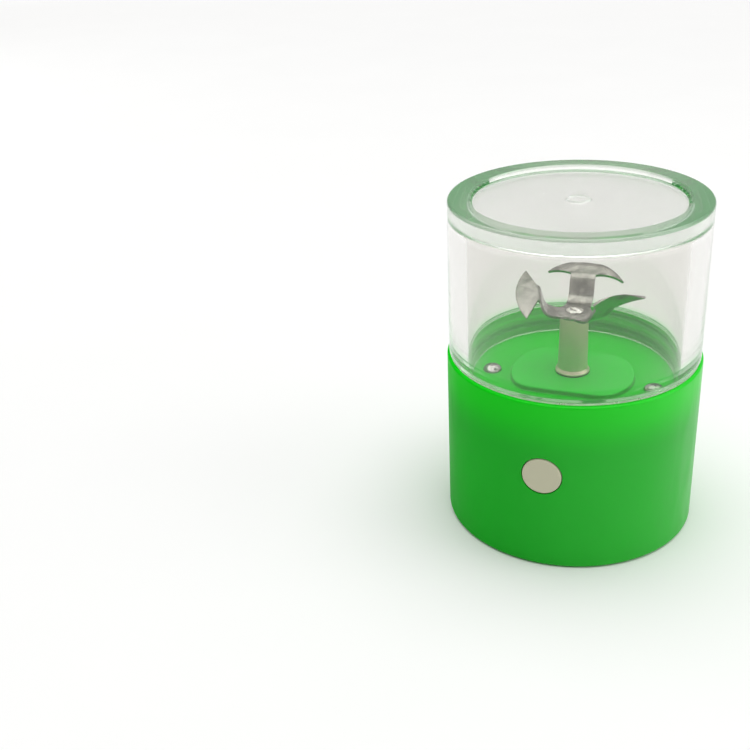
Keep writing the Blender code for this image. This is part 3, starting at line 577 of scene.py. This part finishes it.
def can_steel():
    """Zinc-plated can with drawing lines along its height."""
    return metal("can_steel", (0.66, 0.67, 0.66), 0.3, grooves=(1, 1, 0.04), depth_mm=0.003).material


def laminated_steel():
    """The armature's stack of thin sheets."""
    look = metal("laminated_steel", (0.42, 0.42, 0.43), 0.4, depth_mm=None)
    sheets = look.add("ShaderNodeTexWave", {"Vector": look.place, "Scale": 0.35 / MM}, bands_direction="Z")
    look.bump(sheets.outputs[0], 0.08)
    return look.material


def bronze():
    """Sintered bronze with open pores."""
    look = metal("bronze", (0.58, 0.38, 0.18), 0.42, depth_mm=None, per_mm=10.0)
    look.bump(look.ramp(look.cells(6.0), 0.0, 0.35), 0.02)
    return look.material


def copper():
    return metal("copper", (0.80, 0.36, 0.20), 0.3, grooves=(1, 1, 0.1), depth_mm=0.004).material


def ferrite():
    """Pressed magnet: dark, grainy and slightly sparkling."""
    look = moulded("ferrite", (0.05, 0.05, 0.055), 0.55, grain_mm=0.02)
    grains = look.ramp(look.cells(12.0), 0.0, 0.5)
    look.set(Base_Color=look.mix(grains, (0.12, 0.12, 0.13), (0.035, 0.035, 0.04)))
    return look.material


def circuit_board():
    """Green solder mask over copper tracks, with tinned pads."""
    look = moulded("circuit_board", (0.010, 0.16, 0.06), 0.35, grain_mm=None)
    tracks = look.ramp(look.cells(0.45, distance="MANHATTAN", feature="DISTANCE_TO_EDGE"), 0.10, 0.14)
    pads = look.ramp(look.cells(0.4, distance="CHEBYCHEV"), 0.09, 0.11)
    mask = look.mix(tracks, (0.03, 0.27, 0.10), (0.008, 0.13, 0.05))
    look.set(Base_Color=look.mix(pads, (0.75, 0.74, 0.70), mask))
    look.set(Metallic=look.ramp(pads, 0.0, 1.0, 1.0, 0.0))
    look.bump(tracks, 0.03)
    return look.material


def cell_wrap():
    """Aluminium foil pouch with soft creases."""
    look = metal("cell_wrap", (0.72, 0.73, 0.75), 0.32, depth_mm=None)
    creases = look.noise(0.35, detail=4.0, stretch=(1, 1, 0.4), warp=1.5)
    look.bump(creases, 0.25)
    return look.material


def wire_cover(name, colour):
    look = moulded(name, colour, 0.35, grain_mm=0.006)
    return look.set(Coat_Weight=0.2).material


LOOKS = {
    "green": green_case(),
    "floor_green": green_floor(),
    "clear": clear_plastic(),
    "silicone": silicone(),
    "grey": moulded("grey_plastic", (0.60, 0.585, 0.42), 0.45, grain_mm=0.006, drift=0.03).material,
    "white": moulded("white_nylon", (0.78, 0.77, 0.72), 0.45).material,
    "black": moulded("black_plastic", (0.02, 0.02, 0.021), 0.4).material,
    "rubber": rubber(),
    "post": post_steel(),
    "blade": blade_steel(),
    "struck": struck_steel(),
    "plated": plated(),
    "screw": metal("screw_steel", (0.50, 0.50, 0.48), 0.16, depth_mm=0.002, per_mm=5.0).material,
    "strap": strap_steel(),
    "can": can_steel(),
    "laminated": laminated_steel(),
    "bronze": bronze(),
    "copper": copper(),
    "ferrite": ferrite(),
    "board": circuit_board(),
    "foil": cell_wrap(),
    "red_wire": wire_cover("red_wire", (0.55, 0.012, 0.010)),
    "black_wire": wire_cover("black_wire", (0.016, 0.016, 0.017)),
}

# Every CAD node that stays, by its finish
KEPT_NODES = {
    "plated": ("strap_screw_front", "strap_screw_back", "motor_terminal_left", "motor_terminal_right"),
    "strap": ("motor_strap",),
    "can": ("motor_can", "motor_shaft"),
    "white": ("motor_end_cap",),
    "bronze": ("motor_bush_front", "motor_bush_rear"),
    "ferrite": ("motor_magnet_left", "motor_magnet_right"),
    "laminated": ("motor_armature",),
    "copper": ("motor_commutator", "motor_brush_left", "motor_brush_right"),
    "rubber": ("shaft_seal",),
    "black": ("switch_plunger", "switch_body", "charger_chip"),
    "board": ("main_board", "socket_board"),
    "foil": ("battery_cell",),
    "red_wire": ("battery_wire_red", "motor_wire_red", "charge_wire_red"),
    "black_wire": ("battery_wire_black", "motor_wire_black", "charge_wire_black"),
}


def dress_kept_nodes():
    for finish, names in KEPT_NODES.items():
        for name in names:
            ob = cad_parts[name]
            if not ob.material_slots:
                ob.data.materials.append(LOOKS[finish])
            for material_slot in ob.material_slots:
                material_slot.material = LOOKS[finish]


# ---------------------------------------------------------------- base


def wall_cutter(outline, side, centre_z, deep):
    """The tool that cuts a hole of an outline (x, z) through the round wall on one side, -1 for the
    front and 1 for the back, from deep inside outwards, and rounds the hole's outer edge. The
    outline is a function of how far it is grown."""

    def ring(grown, inward):
        placed = []
        for x, z in outline(grown):
            y = deep if inward is None else sqrt(BASE_R**2 - x**2) - inward
            placed.append((x, side * y, centre_z + z))
        return placed

    proud = 0.02 * MM  # so that the rounding crosses the wall's face at an angle
    rings = [ring(0.0, None)]
    steps = 6
    for i in range(steps + 1):
        a = radians(90 * i / steps)
        rings.append(ring(HOLE_EDGE * (1 - cos(a)), HOLE_EDGE * (1 - sin(a)) - proud))
    beyond = side * (BASE_R + MM)
    rings.append([(x, beyond, centre_z + z) for x, z in outline(HOLE_EDGE)])
    return loft(rings)


def screw_places():
    """Each floor screw's name, and its place across and along."""
    for name in ("floor_screw_left", "floor_screw_right"):
        low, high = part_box(name)
        yield name, (low.x + high.x) / 2, (low.y + high.y) / 2


def base_shell():
    corners = [
        (0.0, BASE_FLOOR, 0.0),
        (BORE_R, BASE_FLOOR, 1.0 * MM),
        (BORE_R, RIM_Z, 0.25 * MM),
        (BASE_R, RIM_Z, 0.45 * MM),
        (BASE_R, 0.0, 0.8 * MM),
        (0.0, 0.0, 0.0),
    ]
    shell = solid("base_shell_fine", turned(rounded(corners)))
    bead = thread_bead(BORE_R, BASE_THREAD_Z, BASE_THREAD_START, BASE_THREAD_TURNS)
    added = [solid("bead", bead)]
    cuts = []
    boss_top = FLOOR_Z - FLOOR_THICK - 0.1 * MM
    for _, x, y in screw_places():
        side = 1 if x > 0 else -1
        added.append(solid("boss", peg(x, y, ROOT_Z, boss_top, BOSS_R)))
        low_x, high_x = sorted((x + side * 2.0 * MM, side * (BORE_R + 0.6 * MM)))
        rib = block((low_x, y - RIB_HALF, ROOT_Z), (high_x, y + RIB_HALF, RIB_TOP_Z))
        added.append(solid("rib", rib))
        low_x, high_x = sorted(side * edge for edge in RAIL_X)
        rail = block((low_x, RAIL_Y[0], ROOT_Z), (high_x, RAIL_Y[1], RAIL_TOP_Z))
        added.append(solid("rail", rail))
        cuts.append(solid("pilot", peg(x, y, BOSS_PILOT_LOW_Z, FLOOR_Z, BOSS_PILOT_R)))
    low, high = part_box("main_board")
    cuts.append(solid("board_slot", block(low - BOARD_CLEAR, high + BOARD_CLEAR)))

    def round_hole(grown):
        return arc((0, 0), BUTTON_HOLE_R + grown, 0, 360 * 95 / 96, 95)

    def mouth(grown):
        return round_oblong(MOUTH_HALF_X + grown, MOUTH_HALF_Z + grown, MOUTH_CORNER + grown)

    cuts.append(solid("button_hole", wall_cutter(round_hole, -1, BUTTON_Z, BORE_R - 2 * MM)))
    cuts.append(solid("socket_mouth", wall_cutter(mouth, 1, SOCKET_Z, BORE_R - MM)))
    combine(shell, "UNION", *added)
    combine(shell, "DIFFERENCE", *cuts)
    return show(shell, LOOKS["green"], "base", "green_plastic", "base_shell")


def platform_ring(grown, z):
    outline = flatted_round(PLATFORM_R + grown, PLATFORM_FLAT + grown, PLATFORM_SOFT)
    return [(x, y, z) for x, y in outline]


def platform():
    """The raised middle with the pocket's outside under it: a hollow rounding where it meets the
    floor and a soft edge on top."""
    foot, top = 0.25 * MM, 0.4 * MM
    rings = [platform_ring(0.0, POCKET_LOW_Z), platform_ring(0.0, FLOOR_Z - MM)]
    rings.append(platform_ring(foot, FLOOR_Z - 0.5 * MM))
    for i in range(7):
        a = radians(90 * i / 6)
        rings.append(platform_ring(foot * (1 - sin(a)), FLOOR_Z + foot * (1 - cos(a))))
    for i in range(9):
        a = radians(90 * i / 8)
        rings.append(platform_ring(-top * (1 - cos(a)), PLATFORM_Z - top * (1 - sin(a))))
    return solid("platform", loft(rings))


def chamber_floor():
    edge = 0.12 * MM
    low_z = FLOOR_Z - FLOOR_THICK
    corners = [(0, FLOOR_Z, 0), (FLOOR_R, FLOOR_Z, edge), (FLOOR_R, low_z, edge), (0, low_z, 0)]
    floor = solid("chamber_floor_fine", turned(rounded(corners)))
    added = [platform()]
    cuts = []
    for y in (-EAR_Y, EAR_Y):
        added.append(solid("ear", peg(0, y, POCKET_LOW_Z, FLOOR_Z - MM, EAR_R)))
        cuts.append(solid("ear_pilot", peg(0, y, POCKET_LOW_Z - MM, EAR_PILOT_TOP_Z, EAR_PILOT_R)))
    for _, x, y in screw_places():
        cuts.append(solid("screw_hole", peg(x, y, low_z - MM, FLOOR_Z + MM, SCREW_HOLE_R)))
    hollow = flatted_round(POCKET_R, POCKET_FLAT)
    levels = (POCKET_LOW_Z - MM, POCKET_TOP_Z)
    cuts.append(solid("pocket", loft([[(x, y, z) for x, y in hollow] for z in levels])))
    cuts.append(solid("shaft_way", peg(0, 0, POCKET_TOP_Z - MM, PLATFORM_Z + MM, SHAFT_WAY_R)))
    combine(floor, "UNION", *added)
    combine(floor, "DIFFERENCE", *cuts)
    return show(floor, LOOKS["floor_green"], "base", "light_green_plastic", "chamber_floor")


def floor_screws():
    """Pan-head screws with a cross recess."""
    for name, x, y in screw_places():
        low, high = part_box(name)
        head_r = (high.x - low.x) / 2
        seat, shank = high.z - SCREW_HEAD_HEIGHT, SCREW_SHANK_R
        profile = []
        for a in range(90, -1, -6):
            profile.append((head_r * cos(radians(a)), seat + SCREW_HEAD_HEIGHT * sin(radians(a))))
        below = [(head_r, seat, 0), (shank, seat, 0), (shank, low.z, 0.5 * MM), (0, low.z, 0)]
        screw = solid(f"{name}_fine", turned(profile + rounded(below)[1:], SMALL))
        slots = []
        reach, half, deep = 1.2 * MM, 0.24 * MM, 0.75 * MM
        for angle in (20, 110):
            bm = block((-reach, -half, high.z - deep), (reach, half, high.z + MM))
            for vert in bm.verts:
                if vert.co.z < high.z:  # the recess narrows downwards
                    vert.co.x *= 0.45
                    vert.co.y *= 0.7
            bmesh.ops.rotate(bm, verts=bm.verts, matrix=Matrix.Rotation(radians(angle), 3, "Z"))
            slots.append(solid("cross", bm))
        combine(screw, "DIFFERENCE", *slots)
        screw.data.transform(Matrix.Translation((x, y, 0)))
        show(screw, LOOKS["screw"], "base", "plated_steel", name)


def charging_socket():
    """The socket's drawn steel shell and its tongue with contacts."""
    half_x = (SOCKET_HIGH.x - SOCKET_LOW.x) / 2
    half_z = (SOCKET_HIGH.z - SOCKET_LOW.z) / 2

    def ring(shrink, y):
        outline = round_oblong(half_x - shrink, half_z - shrink, SOCKET_CORNER - shrink)
        return [(x, y, SOCKET_Z + z) for x, z in outline]

    rings = [ring(0.0, SOCKET_LOW.y)]
    for i in range(7):
        a = radians(180 * i / 6)
        shrink = SOCKET_WALL / 2 * (1 - cos(a))
        rings.append(ring(shrink, SOCKET_HIGH.y - SOCKET_LIP * (1 - sin(a))))
    rings.append(ring(SOCKET_WALL, SOCKET_LOW.y + MM))
    shell = solid("charge_socket_fine", loft(rings))
    show(shell, LOOKS["plated"], "base", "plated_steel", "charge_socket")

    tongue = solid("socket_tongue_fine", block(TONGUE_LOW, TONGUE_HIGH))
    soft = tongue.modifiers.new("Edges", "BEVEL")
    soft.width = 0.12 * MM
    soft.segments = 3
    combine(tongue, "UNION")
    black = (0.02, 0.02, 0.02)
    look = moulded("contact_tongue", black, 0.35)
    strips = look.add("ShaderNodeTexWave", {"Vector": look.place, "Scale": 0.32 / MM}, bands_direction="X")
    gold = look.ramp(strips.outputs[0], 0.55, 0.6)
    look.set(Base_Color=look.mix(gold, black, (0.85, 0.62, 0.25)), Metallic=gold)
    show(tongue, look.material, "base", "black_plastic", "socket_tongue")


# ---------------------------------------------------------------- button


def power_button():
    """A push button with a soft edge and a slightly dished face, turned to face -Y."""
    front, back = -BUTTON_LOW.y, -BUTTON_HIGH.y
    flange_r = (BUTTON_HIGH.x - BUTTON_LOW.x) / 2
    flange = back + 0.8 * MM
    dish_r = 0.8 * BUTTON_R
    dish = [(dish_r * i / 8, front - BUTTON_DISH * (1 - (i / 8) ** 2)) for i in range(8)]
    corners = [
        (dish_r, front, 0.0),
        (BUTTON_R, front, 0.32 * MM),
        (BUTTON_R, flange, 0.0),
        (flange_r, flange, 0.1 * MM),
        (flange_r, back, 0.1 * MM),
        (0.0, back, 0.0),
    ]
    button = solid("power_button_fine", turned(dish + rounded(corners), 96))
    button.data.transform(Matrix.Translation((0, 0, BUTTON_Z)) @ Matrix.Rotation(pi / 2, 4, "X"))
    return show(button, LOOKS["grey"], "button", "grey_plastic", "power_button")


# ---------------------------------------------------------------- blade


def blade_post():
    foot_r, top_r = POST_HIGH.x, POST_HIGH.x - 0.65 * MM
    low, high = POST_LOW.z, POST_HIGH.z
    corners = [
        (RIVET_HOLE_R, high, 0.0),
        (top_r, high, 0.2 * MM),
        (top_r + 0.15 * MM, low + 2.0 * MM, 0.8 * MM),
        (top_r + 0.25 * MM, low + 0.9 * MM, 0.5 * MM),
        (foot_r, low + 0.25 * MM, 0.1 * MM),
        (foot_r, low, 0.06 * MM),
        (POST_BORE_R, low, 0.0),
        (POST_BORE_R, high - 2.2 * MM, 0.0),
        (RIVET_HOLE_R, high - 1.9 * MM, 0.0),
    ]
    post = solid("blade_post_fine", turned(rounded(corners), 96, closed=True))
    return show(post, LOOKS["post"], "rotor", "brushed_steel", "blade_post")


def blade_rivet():
    """The rivet: a low dome, dented by the tool that spread it, on a stem through the hub."""
    head_r = RIVET_HIGH.x
    seat = BLADE_Z + 0.45 * MM
    height = RIVET_HIGH.z - seat
    dome = [(head_r * cos(radians(a)), seat + height * sin(radians(a))) for a in range(90, -1, -5)]
    profile = [*dome, (RIVET_STEM_R, seat), (RIVET_STEM_R, RIVET_LOW.z), (0.0, RIVET_LOW.z)]
    bm = turned(profile, SMALL)
    for vert in bm.verts:
        over = (vert.co.z - seat) / height
        if over > 0.02:
            dent = 0.5 + 0.5 * noise.noise(vert.co * 1.1 / MM)
            vert.co.z -= RIVET_DENT * dent * over
    rivet = solid("blade_rivet_fine", bm)
    return show(rivet, LOOKS["struck"], "rotor", "plated_steel", "blade_rivet")


def arm_rows(arm):
    """The arm's middle line: (place out and up, share of the strap's width, share of the wings'
    length, part of the leaf, part of the edge)."""
    slope = radians(arm.slope)
    out = Vector((cos(slope), sin(slope)))
    start, bend = Vector((1.8 * MM, BLADE_Z)), Vector((3.0 * MM, BLADE_Z))
    leaf_middle = Vector((arm.reach, arm.leaf_z)) * MM
    leaf_start = leaf_middle - out * LEAF_HALF_WIDTH
    pull = (leaf_start - bend).length
    first_pull, last_pull = bend + Vector((arm.level * pull, 0)), leaf_start - out * arm.settle * pull
    rows = [(start, 1.0, 0.0, 0.0, 0.0), (bend, 1.0, 0.0, 0.0, 0.0)]
    riser_steps, inner_steps, outer_steps = 24, 8, 16
    for i in range(1, riser_steps):
        t = i / riser_steps
        a, b, c = bend.lerp(first_pull, t), first_pull.lerp(last_pull, t), last_pull.lerp(leaf_start, t)
        rows.append((a.lerp(b, t).lerp(b.lerp(c, t), t), 1.0, 0.0, t * t * (3 - 2 * t), 0.0))
    for i in range(inner_steps):
        t = i / inner_steps
        rows.append((leaf_start.lerp(leaf_middle, t), 1.0 - t, t, 1.0, 0.0))
    for i in range(outer_steps):
        share = 1 - (1 - i / outer_steps) ** 2
        rows.append((leaf_middle + out * LEAF_HALF_WIDTH * share, 0.0, sqrt(1 - share), 1.0, share))
    return rows


def arm_sheet(arm):
    """One arm as a closed sheet: level, then up in an S, then a crosswise leaf ground thin at its
    outer edge."""
    columns = 20
    leaf_middle = Vector((arm.reach, arm.leaf_z)) * MM
    sheet = bmesh.new()
    grid = []
    thin = []
    for place, strap, wings, leaf, edge in arm_rows(arm):
        lean = radians(arm.tilt) * leaf
        row = []
        for i in range(columns + 1):
            share = 2 * i / columns - 1
            side = int(share > 0)
            wing = arm.wings[side] * MM
            across = share * (ARM_HALF_WIDTH * strap + wing * wings)
            beyond = max(0.0, abs(across) - ARM_HALF_WIDTH) / (wing - ARM_HALF_WIDTH)
            twist = Matrix.Rotation(radians(-arm.twist * side * beyond), 2)
            at = leaf_middle + twist @ (place - leaf_middle)
            up = at.y + across * sin(lean) - arm.droops[side] * MM * beyond**2
            row.append(sheet.verts.new((at.x, across * cos(lean), up)))
        grid.append(row)
        thin.append(1 - 0.75 * max(0.0, edge - 0.35) / 0.65)
    for one, two in zip(grid, grid[1:]):
        for i in range(columns):
            sheet.faces.new((one[i], two[i], two[i + 1], one[i + 1]))
    sheet.normal_update()
    bm = bmesh.new()
    sides = []
    for way in (1, -1):
        half = way * BLADE_THICK / 2
        sides.append([[bm.verts.new(v.co + v.normal * half * t) for v in row] for row, t in zip(grid, thin)])
    sheet.free()
    top, under = sides
    for side in sides:
        for one, two in zip(side, side[1:]):
            for i in range(columns):
                bm.faces.new((one[i], two[i], two[i + 1], one[i + 1]))
    rims = [(top[0], under[0]), (top[-1], under[-1])]
    rims += [([row[end] for row in top], [row[end] for row in under]) for end in (0, -1)]
    for upper, lower in rims:
        for i in range(len(upper) - 1):
            bm.faces.new((upper[i], upper[i + 1], lower[i + 1], lower[i]))
    bmesh.ops.rotate(bm, verts=bm.verts, matrix=Matrix.Rotation(radians(arm.direction), 3, "Z"))
    return bm


def blade():
    soft = 0.1 * MM
    low, high = BLADE_Z - HUB_THICK / 2, BLADE_Z + HUB_THICK / 2
    corners = [(0, high, 0), (HUB_R, high, soft), (HUB_R, low, soft), (0, low, 0)]
    ob = solid("blade_fine", turned(rounded(corners, 4), 96))
    combine(ob, "UNION", *[solid("arm", arm_sheet(arm)) for arm in ARMS])
    combine(ob, "DIFFERENCE", solid("hole", peg(0, 0, BLADE_Z - MM, BLADE_Z + MM, RIVET_HOLE_R)))
    return show(ob, LOOKS["blade"], "rotor", "brushed_steel", "blade")


# ---------------------------------------------------------------- cup and seal


def cup():
    plate_top = CUP_TOP_Z - CUP_RECESS
    plate_low = plate_top - CUP_PLATE
    gate_top = plate_top + 0.3 * MM
    corners = [
        (0.0, plate_top, 0.0),
        (GATE_R - 0.55 * MM, plate_top, 0.08 * MM),
        (GATE_R - 0.45 * MM, gate_top, 0.08 * MM),
        (GATE_R - 0.1 * MM, gate_top, 0.08 * MM),
        (GATE_R, plate_top, 0.08 * MM),
        (CUP_RECESS_R, plate_top, 0.3 * MM),
        (CUP_RECESS_R + 0.75 * MM, CUP_TOP_Z, 0.25 * MM),
        (CUP_R, CUP_TOP_Z, 0.55 * MM),
        (CUP_R, SHOULDER_Z, 0.25 * MM),
        (SKIRT_R, SHOULDER_Z, 0.12 * MM),
        (SKIRT_R, SKIRT_LOW_Z, 0.25 * MM),
        (SKIRT_BORE_R, SKIRT_LOW_Z, 0.25 * MM),
        (CUP_BORE_R - 0.2 * MM, SHOULDER_Z, 0.0),
        (CUP_BORE_R, SHOULDER_Z + 2 * MM, 0.0),
        (CUP_BORE_R, plate_low, 1.0 * MM),
        (0.0, plate_low, 0.0),
    ]
    made = solid("cup_fine", turned(rounded(corners), 256))
    bead = thread_bead(SKIRT_R, CUP_THREAD_Z, 0.0, CUP_THREAD_TURNS)
    combine(made, "UNION", solid("bead", bead))
    return show(made, LOOKS["clear"], "cup", "clear_plastic", "cup")


def cup_seal():
    inner, outer, soft = 22.9 * MM, SEAL_HIGH.x, 0.18 * MM
    low, high = SEAL_LOW.z, SEAL_HIGH.z
    corners = [(outer, high, soft), (outer, low, soft), (inner, low, soft), (inner, high, soft)]
    seal = solid("cup_seal_fine", turned(rounded(corners), closed=True))
    return show(seal, LOOKS["silicone"], "seal", "cream_silicone", "cup_seal")


# ---------------------------------------------------------------- studio


def pale_floor():
    """A pale sweep that glows a little further off, where the overhead light falls away."""
    bm = bmesh.new()
    bmesh.ops.create_circle(bm, cap_ends=True, segments=96, radius=4.0)
    floor = solid("studio_floor", bm)
    floor.location.z = -0.05 * MM
    look = Look("pale_floor")
    patches = look.noise(0.02, detail=3.0)
    look.set(Base_Color=look.mix(patches, (0.90, 0.90, 0.895), (0.92, 0.92, 0.915)), Roughness=0.9)
    glow = look.ramp(look.from_axis(), 0.35, 3.0, 0.0, 0.9)
    look.set(Specular_IOR_Level=0.1, Emission_Color=(1.0, 1.0, 1.0, 1.0), Emission_Strength=glow)
    floor.data.materials.append(look.material)


def soft_light(name, at_mm, size_mm, watts):
    """A square soft box aimed at the middle of the part."""
    light = bpy.data.lights.new(name, "AREA")
    light.energy = watts
    light.size = size_mm * MM
    ob = bpy.data.objects.new(name, light)
    ob.location = Vector(at_mm) * MM
    aim = Vector((0, 0, 30 * MM)) - ob.location
    ob.rotation_euler = aim.to_track_quat("-Z", "Y").to_euler()
    bpy.context.scene.collection.objects.link(ob)


def room():
    """A pale room that is darker in front and to the left. The camera itself sees it white, and
    nearly white through the clear cup."""
    world = bpy.data.worlds.new("pale_room")
    bpy.context.scene.world = world
    world.use_nodes = True
    nodes, links = world.node_tree.nodes, world.node_tree.links

    def maths(operation, first, second):
        node = nodes.new("ShaderNodeMath")
        node.operation = operation
        links.new(first, node.inputs[0])
        if isinstance(second, bpy.types.NodeSocket):
            links.new(second, node.inputs[1])
        else:
            node.inputs[1].default_value = second
        return node.outputs[0]

    towards = nodes.new("ShaderNodeTexCoord")
    sideways = nodes.new("ShaderNodeVectorMath")
    sideways.operation = "DOT_PRODUCT"
    sideways.inputs[1].default_value = ROOM_BRIGHT_SIDE
    links.new(towards.outputs["Generated"], sideways.inputs[0])
    fade = nodes.new("ShaderNodeMapRange")
    fade.interpolation_type = "SMOOTHSTEP"
    fade.inputs["From Min"].default_value = -0.9
    fade.inputs["From Max"].default_value = 0.9
    fade.inputs["To Min"].default_value = ROOM_DIM
    fade.inputs["To Max"].default_value = ROOM_BRIGHT
    links.new(sideways.outputs["Value"], fade.inputs["Value"])
    ray = nodes.new("ShaderNodeLightPath")
    through = maths("MULTIPLY", ray.outputs["Is Transmission Ray"], ROOM_THROUGH_CUP)
    seen = maths("MAXIMUM", ray.outputs["Is Camera Ray"], through)
    strength = maths("MAXIMUM", fade.outputs[0], seen)
    background = nodes["Background"]
    background.inputs["Color"].default_value = (1.0, 0.995, 0.985, 1.0)
    links.new(strength, background.inputs["Strength"])


def camera():
    data = bpy.data.cameras.new("camera")
    data.lens = CAMERA_LENS
    data.clip_start = MM
    data.clip_end = 20.0
    heading, down, roll = radians(CAMERA_HEADING), radians(CAMERA_DOWN), radians(CAMERA_ROLL)
    forward = Vector((-sin(heading) * cos(down), cos(heading) * cos(down), -sin(down)))
    turn = forward.to_track_quat("-Z", "Y").to_matrix() @ Matrix.Rotation(roll, 3, "Z")
    ob = bpy.data.objects.new("camera", data)
    ob.matrix_world = Matrix.Translation(CAMERA_AT) @ turn.to_4x4()
    bpy.context.scene.collection.objects.link(ob)
    bpy.context.scene.camera = ob


def let_light_run_inside_walls():
    """Light runs down the cup's thick wall by many inner reflections before it leaves it."""
    cycles = bpy.context.scene.cycles
    cycles.max_bounces = 24
    cycles.glossy_bounces = 16
    cycles.transmission_bounces = 24
    cycles.transparent_max_bounces = 16


base_shell()
chamber_floor()
floor_screws()
charging_socket()
power_button()
blade_post()
blade_rivet()
blade()
cup()
cup_seal()
dress_kept_nodes()

pale_floor()
soft_light("overhead", (0, 100, 1800), 3000, 46)
soft_light("left_window", (-620, 160, 300), 420, 0.35)
soft_light("right_fill", (620, 60, 260), 420, 0.9)
room()
camera()
bpy.context.scene.view_settings.view_transform = "Standard"
let_light_run_inside_walls()
